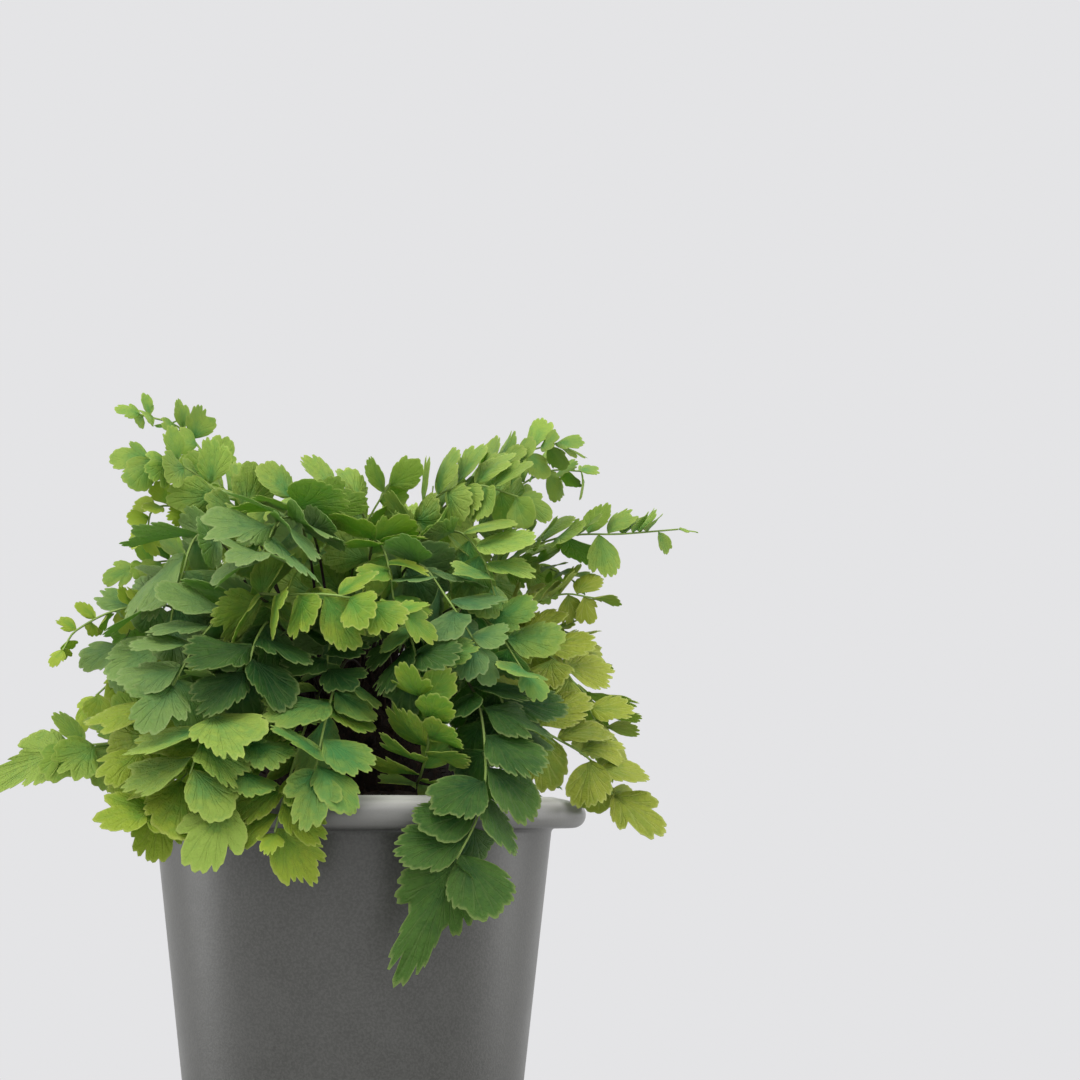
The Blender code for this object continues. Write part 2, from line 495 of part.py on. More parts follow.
def frond_bmesh(frond, midrib, joints, leaves):
    """One closed body: a square stalk whose side faces grow out, left and right in turn, into leaflet plates."""
    bm = bmesh.new()
    stalk = [joints[0] * ring / STALK_RINGS for ring in range(STALK_RINGS)]
    loops = [[bm.verts.new(corner) for corner in stalk_loop(midrib, distance)] for distance in stalk + joints]

    def grow_plate(foot, leaf):
        """Grows the leaflet from four corners of the stalk to its widest part, and on to a thin blunt end."""
        _, widest, end = leaf_loops(leaf)
        wide = [bm.verts.new(corner) for corner in widest]
        for i in range(4):
            bm.faces.new((foot[i], foot[(i + 1) % 4], wide[(i + 1) % 4], wide[i]))
        inner, outer = (bm.verts.new(0.5 * (end[i] + end[3 - i])) for i in (0, 1))
        bm.faces.new((wide[0], wide[1], outer, inner))
        bm.faces.new((wide[2], wide[3], inner, outer))
        bm.faces.new((wide[1], wide[2], outer))
        bm.faces.new((wide[3], wide[0], inner))

    bm.faces.new(loops[0])
    for i, (near, far) in enumerate(zip(loops, loops[1:])):
        leaf_number = i - STALK_RINGS
        leaf = leaves[leaf_number] if leaf_number >= 0 else None
        top, bottom = ((0, 3), (1, 2))[leaf_number % 2]
        if leaf:
            grow_plate([near[top], far[top], far[bottom], near[bottom]], leaf)
        for side in range(4):
            following = (side + 1) % 4
            if leaf and {side, following} == {top, bottom}:
                continue
            bm.faces.new((near[side], near[following], far[following], far[side]))
    if leaves[-1]:
        grow_plate([loops[-1][1], loops[-1][0], loops[-1][3], loops[-1][2]], leaves[-1])
    else:
        bm.faces.new(loops[-1])
    return bm


def build():
    for old in list(bpy.data.objects):
        bpy.data.objects.remove(old)
    pot_bmesh = turned(pot_outline())
    soil_bmesh = turned(soil_outline())
    rootstock_bmesh = turned(rootstock_outline())
    lobed(rootstock_bmesh)
    solids = [BVHTree.FromBMesh(bm) for bm in (pot_bmesh, soil_bmesh, rootstock_bmesh)]
    midribs, obstacles = clear_midribs(solids[2], solids)
    for frond in FRONDS:
        midrib = midribs[frond.name]
        joints = leaf_joints(frond, midrib.length)
        leaves, trees = grow_leaves(frond, midrib, joints, obstacles)
        obstacles += trees
        bm = frond_bmesh(frond, midrib, joints, leaves)
        bmesh.ops.triangulate(bm, faces=bm.faces)
        finished_object(frond.name, bm, principled(f"{frond.name}_green", GREENS[frond.tint], 0.5))
    pot = finished_object("pot", pot_bmesh, principled("pot_glaze", (0.13, 0.13, 0.125), 0.45))
    cut_drain_holes(pot)
    finished_object("potting_soil", soil_bmesh, principled("soil", (0.02, 0.013, 0.008), 0.95))
    finished_object("rootstock", rootstock_bmesh, principled("rootstock_fibre", (0.015, 0.008, 0.006), 0.9))


build()
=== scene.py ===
"""Potted fern: a small toothed fern in a satin grey pot with a rolled rim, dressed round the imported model."""

import math
import random
from collections import namedtuple

import bmesh
import bpy
import numpy as np
from mathutils import Matrix, Vector, noise
from mathutils.bvhtree import BVHTree
from mathutils.geometry import interpolate_bezier


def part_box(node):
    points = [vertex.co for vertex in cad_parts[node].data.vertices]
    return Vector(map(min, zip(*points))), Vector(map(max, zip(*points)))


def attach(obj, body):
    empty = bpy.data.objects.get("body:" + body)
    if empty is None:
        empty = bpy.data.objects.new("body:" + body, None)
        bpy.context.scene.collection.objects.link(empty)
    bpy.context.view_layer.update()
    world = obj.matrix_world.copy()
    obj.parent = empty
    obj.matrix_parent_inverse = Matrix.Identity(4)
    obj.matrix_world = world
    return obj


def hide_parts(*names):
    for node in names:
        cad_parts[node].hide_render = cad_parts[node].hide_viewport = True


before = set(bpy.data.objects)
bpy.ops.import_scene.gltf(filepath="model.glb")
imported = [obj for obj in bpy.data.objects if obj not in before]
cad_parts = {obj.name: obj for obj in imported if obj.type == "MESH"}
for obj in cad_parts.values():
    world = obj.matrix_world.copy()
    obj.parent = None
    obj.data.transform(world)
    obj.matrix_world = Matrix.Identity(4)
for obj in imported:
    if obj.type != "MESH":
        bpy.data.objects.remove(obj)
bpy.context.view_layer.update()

# ---- Pot ---------------------------------------------------------------------------------------------------
# A stoneware pot: a plain body that tapers to its foot and a rim rolled outwards, with three drain holes in
# the base. Its one satin warm-grey glaze has fine iron specks and is a little worn round the foot. A lighter
# tone painted over the rolled rim and a pale band painted along the top of the lip stand in for the sheen and
# the highlight that the light puts there.
MM = 0.001
POT_TURNS = 160
POT_FOOT_RADIUS = 39.8
POT_BODY_TOP = 51.2
POT_WALL = 4.6
POT_BASE = 5.0
ROLL_RADIUS = 3.4
RIM_MIDDLE_DROP = 4.6  # from the pot's top down to the middle of the roll
FOOT_ROUND = 1.6
FOOT_FLAT = POT_FOOT_RADIUS - 1.45
UNDER_RIM_ROUND = 1.3
LIP_ROUND = 2.2
DRAIN_HOLES = 3
DRAIN_RADIUS = 5.0
DRAIN_CIRCLE = 18.0
SHARP_EDGE = 40.0  # degrees between two faces from which the edge between them stays sharp
pot_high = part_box("pot")[1] / MM
RIM_RADIUS = pot_high.x
POT_HEIGHT = pot_high.z
RIM_LINE = POT_HEIGHT - RIM_MIDDLE_DROP
RIM_UNDERSIDE = RIM_LINE - ROLL_RADIUS


def finished(name, bm, material, sharp_degrees=SHARP_EDGE):
    """Makes the object from a bmesh in millimetres: in metres, faces outward, smooth between sharp edges."""
    bmesh.ops.recalc_face_normals(bm, faces=bm.faces)
    bmesh.ops.transform(bm, matrix=Matrix.Scale(MM, 4), verts=bm.verts)
    mesh = bpy.data.meshes.new(name)
    bm.to_mesh(mesh)
    bm.free()
    mesh.shade_smooth()
    mesh.set_sharp_from_angle(angle=math.radians(sharp_degrees))
    mesh.materials.append(material)
    piece = bpy.data.objects.new(name, mesh)
    bpy.context.scene.collection.objects.link(piece)
    return piece


def turned(profile, turns):
    """A solid turned round the pot's axis from (radius, height) points that start and end on the axis."""
    bm = bmesh.new()
    points = [bm.verts.new((radius, 0.0, height)) for radius, height in profile]
    edges = [bm.edges.new(pair) for pair in zip(points, points[1:])]
    bmesh.ops.spin(
        bm, geom=points + edges, cent=(0, 0, 0), axis=(0, 0, 1), angle=math.tau, steps=turns, use_merge=True
    )
    bmesh.ops.remove_doubles(bm, verts=bm.verts, dist=0.001)
    bmesh.ops.recalc_face_normals(bm, faces=bm.faces)
    return bm


def arc(middle, radius, start, end, steps):
    """Points of an arc in a profile, from one angle to another in degrees."""
    angles = [math.radians(start + (end - start) * step / steps) for step in range(steps + 1)]
    return [(middle[0] + radius * math.cos(a), middle[1] + radius * math.sin(a)) for a in angles]


def pot_wall_radius(height):
    return POT_FOOT_RADIUS + (POT_BODY_TOP - POT_FOOT_RADIUS) * height / RIM_UNDERSIDE


def pot_profile():
    """From the middle of the underside, up the outside, over the rolled rim and down to the inside floor."""
    inner_foot = pot_wall_radius(POT_BASE) - POT_WALL
    inner_top = POT_BODY_TOP - POT_WALL
    profile = [(0, 0), (POT_FOOT_RADIUS - 5.0, 0), (FOOT_FLAT, 0)]
    profile += arc((FOOT_FLAT, FOOT_ROUND), FOOT_ROUND, -75, -5, 5)
    profile += [(pot_wall_radius(h), h) for h in (8, 22, 40, 58, 76, 90)]
    under_rim = (pot_wall_radius(RIM_UNDERSIDE - 1.4) + UNDER_RIM_ROUND, RIM_UNDERSIDE - UNDER_RIM_ROUND)
    profile += arc(under_rim, UNDER_RIM_ROUND, 180, 95, 5)
    profile += arc((RIM_RADIUS - ROLL_RADIUS, RIM_LINE), ROLL_RADIUS, -90, 85, 20)
    profile += [(54.5, RIM_LINE + 3.95), (51.5, POT_HEIGHT - 0.1)]
    profile += arc((inner_top + 2.3, POT_HEIGHT - LIP_ROUND), LIP_ROUND, 90, 180, 6)
    profile += [(inner_foot + 1.5, POT_BASE + 1.2), (inner_foot, POT_BASE), (0, POT_BASE)]
    return profile


def drilled(pot):
    """Cuts the drain holes and leaves the result as the pot's own mesh."""
    for hole in range(DRAIN_HOLES):
        bm = bmesh.new()
        bmesh.ops.create_cone(
            bm, cap_ends=True, segments=40, radius1=DRAIN_RADIUS, radius2=DRAIN_RADIUS, depth=4 * POT_BASE
        )
        angle = math.tau * (hole + 0.25) / DRAIN_HOLES
        place = Vector((DRAIN_CIRCLE * math.cos(angle), DRAIN_CIRCLE * math.sin(angle), 0))
        bmesh.ops.translate(bm, vec=place, verts=bm.verts)
        drill = finished(f"drain_drill_{hole}", bm, pot.data.materials[0])
        cut = pot.modifiers.new("drain", "BOOLEAN")
        cut.operation = "DIFFERENCE"
        cut.object = drill
        graph = bpy.context.evaluated_depsgraph_get()
        holed = bpy.data.meshes.new_from_object(pot.evaluated_get(graph))
        pot.modifiers.clear()
        pot.data = holed
        bpy.data.objects.remove(drill)
    return pot


class Nodes:
    """Short calls to place and join shader nodes in one tree."""

    def __init__(self, tree):
        self.tree = tree

    def add(self, kind, settings=None, **inputs):
        node = self.tree.nodes.new(kind)
        for key, value in (settings or {}).items():
            setattr(node, key, value)
        for key, value in inputs.items():
            self.feed(node.inputs[key.replace("_", " ")], value)
        return node

    def feed(self, socket, value):
        if isinstance(value, bpy.types.NodeSocket):
            self.tree.links.new(value, socket)
        else:
            socket.default_value = value

    def math(self, operation, *values, clamp=False):
        node = self.add("ShaderNodeMath", {"operation": operation, "use_clamp": clamp})
        for socket, value in zip(node.inputs, values):
            self.feed(socket, value)
        return node.outputs[0]

    def between(self, value, low, high, smooth=True):
        """0 below low, 1 above high."""
        settings = {"interpolation_type": "SMOOTHSTEP" if smooth else "LINEAR"}
        node = self.add("ShaderNodeMapRange", settings, Value=value, From_Min=low, From_Max=high)
        return node.outputs["Result"]

    def blend(self, share, first, second, how="MIX"):
        node = self.add("ShaderNodeMix", {"data_type": "RGBA", "blend_type": how})
        colours = [socket for socket in node.inputs if socket.type == "RGBA"]
        self.feed(node.inputs["Factor"], share)
        self.feed(colours[0], first)
        self.feed(colours[1], second)
        return [socket for socket in node.outputs if socket.type == "RGBA"][0]

    def grain(self, place, scale, detail=3.0, roughness=0.55):
        node = self.add("ShaderNodeTexNoise", Vector=place, Scale=scale, Detail=detail, Roughness=roughness)
        return node.outputs["Fac"]

    def place(self):
        return self.add("ShaderNodeTexCoord").outputs["Object"]


def new_material(name):
    material = bpy.data.materials.new(name)
    material.use_nodes = True
    nodes = Nodes(material.node_tree)
    return material, nodes, material.node_tree.nodes["Principled BSDF"]


def join_finish(nodes, shader, colour, roughness, bump, specular):
    """Joins what a finish is made of to the material's own shader."""
    nodes.feed(shader.inputs["Base Color"], colour)
    nodes.feed(shader.inputs["Roughness"], roughness)
    nodes.feed(shader.inputs["Normal"], bump.outputs["Normal"])
    shader.inputs["Specular IOR Level"].default_value = specular


def pot_glaze():
    material, nodes, shader = new_material("satin_grey_glaze")
    place = nodes.place()
    height = nodes.add("ShaderNodeSeparateXYZ", Vector=place).outputs["Z"]
    clouds = nodes.between(nodes.grain(place, 90.0, 4.0), 0.3, 0.7)
    grit = nodes.between(nodes.grain(place, 1700.0, 2.0), 0.35, 0.68)
    specks = nodes.between(nodes.grain(place, 620.0, 1.0), 0.70, 0.78)
    body = nodes.blend(clouds, (0.033, 0.033, 0.030, 1), (0.038, 0.038, 0.035, 1))
    gritty = nodes.blend(nodes.math("MULTIPLY", grit, 0.22), body, (0.100, 0.099, 0.093, 1))
    specked = nodes.blend(nodes.math("MULTIPLY", specks, 0.55), gritty, (0.028, 0.027, 0.025, 1))
    # Painted sheen: the rolled rim is painted a lighter grey than the body, for the light it catches.
    on_rim = nodes.between(height, (RIM_UNDERSIDE - 0.5) * MM, (RIM_UNDERSIDE + 1.5) * MM)
    # Painted highlight: a pale band along the top of the lip stands in for the highlight there.
    on_lip = nodes.between(height, (RIM_LINE + 0.6) * MM, (RIM_LINE + 4.6) * MM, smooth=False)
    lip_highlight = nodes.math("POWER", on_lip, 2.1)
    rolled_with_sheen = nodes.blend(nodes.math("MULTIPLY", on_rim, 0.7), specked, (0.135, 0.134, 0.127, 1))
    rim = nodes.blend(lip_highlight, rolled_with_sheen, (0.84, 0.82, 0.78, 1))
    foot_wear = nodes.math("SUBTRACT", 1.0, nodes.between(height, 0.6 * MM, 3.2 * MM))
    worn = nodes.math("MULTIPLY", foot_wear, nodes.between(nodes.grain(place, 180.0, 2.0), 0.25, 0.85))
    colour = nodes.blend(worn, rim, (0.10, 0.094, 0.083, 1))
    satin = nodes.math("MULTIPLY_ADD", clouds, 0.06, nodes.math("MULTIPLY_ADD", on_rim, 0.02, 0.36))
    relief = nodes.math("MULTIPLY_ADD", grit, 0.35, nodes.math("MULTIPLY", clouds, 0.4))
    bump = nodes.add("ShaderNodeBump", Height=relief, Strength=0.06, Distance=0.0006)
    join_finish(nodes, shader, colour, nodes.math("MULTIPLY_ADD", foot_wear, 0.3, satin), bump, 0.34)
    shader.inputs["Coat Weight"].default_value = 0.05
    shader.inputs["Coat Roughness"].default_value = 0.28
    return material


pot_piece = drilled(finished("glazed_pot", turned(pot_profile(), POT_TURNS), pot_glaze()))
pot_piece.data.shade_smooth()
pot_piece.data.set_sharp_from_angle(angle=math.radians(SHARP_EDGE))
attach(pot_piece, "root")
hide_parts("pot")

# ---- Potting soil ------------------------------------------------------------------------------------------
# A plug of dark, moist peat and bark that fills the pot to just under its rim and rises against the
# rootstock. Its top is heaved by watering, and loose crumbs of bark and peat lie pressed into it.
POT_INNER_TOP = POT_BODY_TOP - POT_WALL + 0.1
SOIL_TURNS = 96
SOIL_STEPS = 22
SOIL_UNDERSIDE = POT_BASE + 0.3
SOIL_EDGE = RIM_LINE + 1.4
SOIL_RISE = 4.0
ROOTSTOCK_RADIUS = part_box("rootstock")[1].x / MM
CRUMBS = 620
CRUMB_SEED = 11


def soil_height(radius):
    """Height of the soil's top, before it is heaved."""
    rise = (POT_INNER_TOP - radius) / (POT_INNER_TOP - ROOTSTOCK_RADIUS)
    return SOIL_EDGE + SOIL_RISE * min(1.0, max(0.0, rise)) ** 0.8


def soil_plug():
    """The plug, with its top heaved and crumbs lying on it."""
    profile = [(0, SOIL_UNDERSIDE), (34.0, SOIL_UNDERSIDE), (37.5, POT_BASE + 4.0)]
    profile.append((POT_INNER_TOP, SOIL_EDGE - 0.6))
    for step in range(SOIL_STEPS + 1):
        radius = POT_INNER_TOP * (1.0 - step / SOIL_STEPS)
        profile.append((radius, soil_height(radius)))
    bm = turned(profile, SOIL_TURNS)
    for vertex in bm.verts:
        if vertex.co.z > SOIL_EDGE - 1.0 and vertex.co.xy.length < POT_INNER_TOP - 0.4:
            heave = noise.fractal(vertex.co * 0.22, 0.7, 2.1, 4) * 0.9 + noise.noise(vertex.co * 1.1) * 0.5
            vertex.co.z += heave * min(1.0, (POT_INNER_TOP - vertex.co.xy.length) / 2.0)
    dice = random.Random(CRUMB_SEED)
    for _ in range(CRUMBS):
        add_crumb(bm, dice)
    return bm


def add_crumb(bm, dice):
    """One irregular crumb, pressed halfway into the soil."""
    radius = math.sqrt(dice.uniform((ROOTSTOCK_RADIUS - 2.0) ** 2, (POT_INNER_TOP - 1.0) ** 2))
    angle = dice.uniform(0, math.tau)
    size = dice.choice((0.5, 0.7, 0.9, 1.3)) * dice.uniform(0.8, 1.2)
    made = bmesh.ops.create_icosphere(bm, subdivisions=1, radius=size)["verts"]
    stretch = Matrix.Diagonal((dice.uniform(0.7, 1.6), dice.uniform(0.6, 1.0), dice.uniform(0.4, 0.8)))
    turn = Matrix.Rotation(dice.uniform(0, math.tau), 3, "Z")
    turn = turn @ Matrix.Rotation(dice.uniform(-0.5, 0.5), 3, "X")
    centre = Vector((radius * math.cos(angle), radius * math.sin(angle), soil_height(radius) + 0.2 * size))
    for vertex in made:
        ragged = 1.0 + 0.35 * noise.noise(vertex.co * 2.0 + centre)
        vertex.co = centre + turn @ (stretch @ (vertex.co * ragged))


def soil_material():
    material, nodes, shader = new_material("moist_potting_soil")
    place = nodes.place()
    clumps = nodes.between(nodes.grain(place, 420.0, 5.0, 0.65), 0.32, 0.68)
    flecks = nodes.between(nodes.grain(place, 1500.0, 2.0), 0.62, 0.72)
    peat = nodes.blend(clumps, (0.006, 0.004, 0.003, 1), (0.032, 0.020, 0.012, 1))
    colour = nodes.blend(nodes.math("MULTIPLY", flecks, 0.6), peat, (0.085, 0.055, 0.032, 1))
    bump = nodes.add("ShaderNodeBump", Height=clumps, Strength=0.7, Distance=0.0008)
    join_finish(nodes, shader, colour, nodes.math("MULTIPLY_ADD", clumps, 0.15, 0.85), bump, 0.15)
    return material


soil_piece = finished("soil_plug", soil_plug(), soil_material(), sharp_degrees=50)
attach(soil_piece, "root")
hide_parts("potting_soil")

# ---- Rootstock ---------------------------------------------------------------------------------------------
# The short upright stem that every frond grows from: several crowns grown together into one nearly black
# mound, matted with wiry root fibres and stubbled with the feet and the dry, broken stalks of old fronds. Its
# height and its near-black colour stand partly for the deep shade at the heart of the clump, and the old
# stalks stand thick on its top to fill the gap above it with painted shade.
ROOTSTOCK_TURNS = 84
ROOTSTOCK_STEPS = 22
ROOTSTOCK_SHOULDER = 8.0
# The mound stands this high partly so that its dark fills the shade at the heart of the clump.
ROOTSTOCK_TOP = 38.0
FIBRES = 520
STUBS = 70
OLD_STALKS_AS_SHADE = 170
STRAND_SEED = 23


def rootstock_swell(angle, above):
    """How far the mound swells or pinches at an angle, where separate crowns have grown together."""
    swell = 0.06 * math.sin(3 * angle + 0.7) + 0.04 * math.sin(7 * angle)
    return 1.0 + swell * max(0.0, above) / ROOTSTOCK_TOP


def add_strand(bm, places, radii, sides=3):
    """A closed strand through the places, with a radius at each."""
    rings = []
    for i, place in enumerate(places):
        way = (places[min(i + 1, len(places) - 1)] - places[max(i - 1, 0)]).normalized()
        side = way.orthogonal().normalized()
        up = way.cross(side)
        turns = [math.tau * k / sides for k in range(sides)]
        ring = [place + (side * math.cos(t) + up * math.sin(t)) * radii[i] for t in turns]
        rings.append([bm.verts.new(corner) for corner in ring])
    bm.faces.new(rings[0])
    bm.faces.new(rings[-1])
    for near, far in zip(rings, rings[1:]):
        for k in range(sides):
            bm.faces.new((near[k], near[(k + 1) % sides], far[(k + 1) % sides], far[k]))


def mound_point(angle, lean):
    """A point on the mound and the way out of it, by compass angle and degrees up from its shoulder."""
    lean = math.radians(lean)
    above = (ROOTSTOCK_TOP - ROOTSTOCK_SHOULDER) * math.sin(lean)
    radius = ROOTSTOCK_RADIUS * math.cos(lean) * rootstock_swell(angle, above) * 0.97
    height = RIM_LINE + ROOTSTOCK_SHOULDER + above
    point = Vector((radius * math.cos(angle), radius * math.sin(angle), height))
    level = math.cos(lean)
    out = Vector((level * math.cos(angle), level * math.sin(angle), 1.3 * math.sin(lean) + 0.15))
    return point, out.normalized()


def rootstock_mound():
    """The swollen, rough mound, then its root fibres, its stubs and its old dry stalks, set thick as painted
    shade.
    """
    profile = [(0, RIM_LINE - 11), (18.5, RIM_LINE - 11), (22.5, RIM_LINE - 4), (25.8, RIM_LINE + 3)]
    rise = ROOTSTOCK_TOP - ROOTSTOCK_SHOULDER
    for step in range(ROOTSTOCK_STEPS + 1):
        angle = math.radians(90 * step / ROOTSTOCK_STEPS)
        height = RIM_LINE + ROOTSTOCK_SHOULDER + rise * math.sin(angle)
        profile.append((ROOTSTOCK_RADIUS * 0.985 * max(0.0, math.cos(angle)), height))
    profile[-1] = (0, profile[-1][1])
    bm = turned(profile, ROOTSTOCK_TURNS)
    for vertex in bm.verts:
        above = vertex.co.z - RIM_LINE - ROOTSTOCK_SHOULDER
        vertex.co.xy *= rootstock_swell(math.atan2(vertex.co.y, vertex.co.x), above)
        if vertex.co.z > RIM_LINE + 2.0:
            rough = noise.fractal(vertex.co * 0.30, 0.8, 2.2, 4)
            vertex.co += Vector((vertex.co.x, vertex.co.y, 14.0)).normalized() * (0.9 * rough - 0.6)
    dice = random.Random(STRAND_SEED)
    for _ in range(FIBRES):
        angle, lean = dice.uniform(0, math.tau), 90 * dice.random() ** 0.8 - 4
        point, out = mound_point(angle, lean)
        drift = Vector((dice.uniform(-1, 1), dice.uniform(-1, 1), dice.uniform(-0.8, 0.6)))
        length = dice.uniform(2.0, 6.0)
        places = [point - out * 0.8]
        for part in (0.35, 0.7, 1.0):
            places.append(point + (out * (0.55 - 0.35 * part) + drift * 0.5 * part) * length * part)
        add_strand(bm, places, (0.2, 0.16, 0.11, 0.05))
    for _ in range(STUBS):
        point, out = mound_point(dice.uniform(0, math.tau), dice.uniform(8, 88))
        out = (out + Vector((dice.uniform(-0.4, 0.4), dice.uniform(-0.4, 0.4), 0.5))).normalized()
        length, thick = dice.uniform(1.2, 3.4), dice.uniform(0.55, 1.0)
        places = [point - out, point + out * 0.5 * length, point + out * length]
        add_strand(bm, places, (thick * 1.2, thick, thick * 0.75), sides=7)
    # Painted shade: thin dark stalks standing thick on the mound's top fill the gap above it with dark.
    for _ in range(OLD_STALKS_AS_SHADE):
        point, out = mound_point(dice.uniform(0, math.tau), dice.uniform(35, 90))
        out = (out + Vector((dice.uniform(-0.3, 0.3), dice.uniform(-0.3, 0.3), 1.2))).normalized()
        bend = Vector((dice.uniform(-1, 1), dice.uniform(-1, 1), 0)) * 1.5
        length, thick = dice.uniform(7.0, 16.0), dice.uniform(0.3, 0.5)
        places = [point - out, point + out * 0.5 * length, point + out * length + bend]
        add_strand(bm, places, (thick * 1.3, thick, thick * 0.7), sides=5)
    return bm


def rootstock_material():
    material, nodes, shader = new_material("rootstock_fibre")
    place = nodes.place()
    matted = nodes.between(nodes.grain(place, 700.0, 5.0, 0.7), 0.35, 0.65)
    rusty = nodes.between(nodes.grain(place, 160.0, 3.0), 0.5, 0.72)
    # Painted shade: the near-black is partly the fibres' own dark colour and partly the deep shade at the
    # clump's heart.
    dark = nodes.blend(matted, (0.004, 0.003, 0.002, 1), (0.016, 0.009, 0.006, 1))
    colour = nodes.blend(nodes.math("MULTIPLY", rusty, 0.5), dark, (0.040, 0.020, 0.011, 1))
    bump = nodes.add("ShaderNodeBump", Height=matted, Strength=0.8, Distance=0.0006)
    join_finish(nodes, shader, colour, nodes.math("MULTIPLY_ADD", matted, 0.15, 0.8), bump, 0.12)
    return material


rootstock_piece = finished("fibrous_rootstock", rootstock_mound(), rootstock_material(), sharp_degrees=60)
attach(rootstock_piece, "root")
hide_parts("rootstock")

# ---- Fronds ------------------------------------------------------------------------------------------------
# Each frond is one wiry, grooved stalk with toothed leaflets set alternately along it: thin, soft, fan-veined
# blades that the light shines through. Every stalk stands on the rootstock. The leaflets lie where the packed
# ones do, found by the same steps: each gives way to what is already in its place.
CLEARANCE = 0.3
SPARE_ROOM = 0.05  # that a leaflet needs beyond the clearance
STALK_SPARE = 0.02
STALK_HALF = 0.6
STALK_TIP_HALF = 0.35
STALK_SLIMMER = 0.72  # the wiry stalk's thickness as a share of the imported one's
GROOVE = 0.72  # how high the bottom of the stalk's groove lies
STALK_SIDES = 8
STALK_LIFT = 6.0
BLADE_THICKNESS = 0.6
LEAF_WIDTH = 0.78
WIDEST_AT = 0.55
END_WIDTH = 0.6
END_SAG = 0.08
LEAF_SPACING = 0.26
LEAF_FORWARD = 24.0
LEAF_DROOP = 8.0
LEAF_TWIST = 14.0
GIVE_WAY = [
    (droop, twist, size)
    for size in (1.0, 0.8, 0.62, 0.45)
    for droop, twist in ((0, 0), (-16, 0), (16, 0), (0, 24), (-32, 8), (32, -8), (-50, 0), (50, 0), (68, 0))
]
TURN_ASIDE = [0, 3, -3, 6, -6, 9, -9, 12, -12]

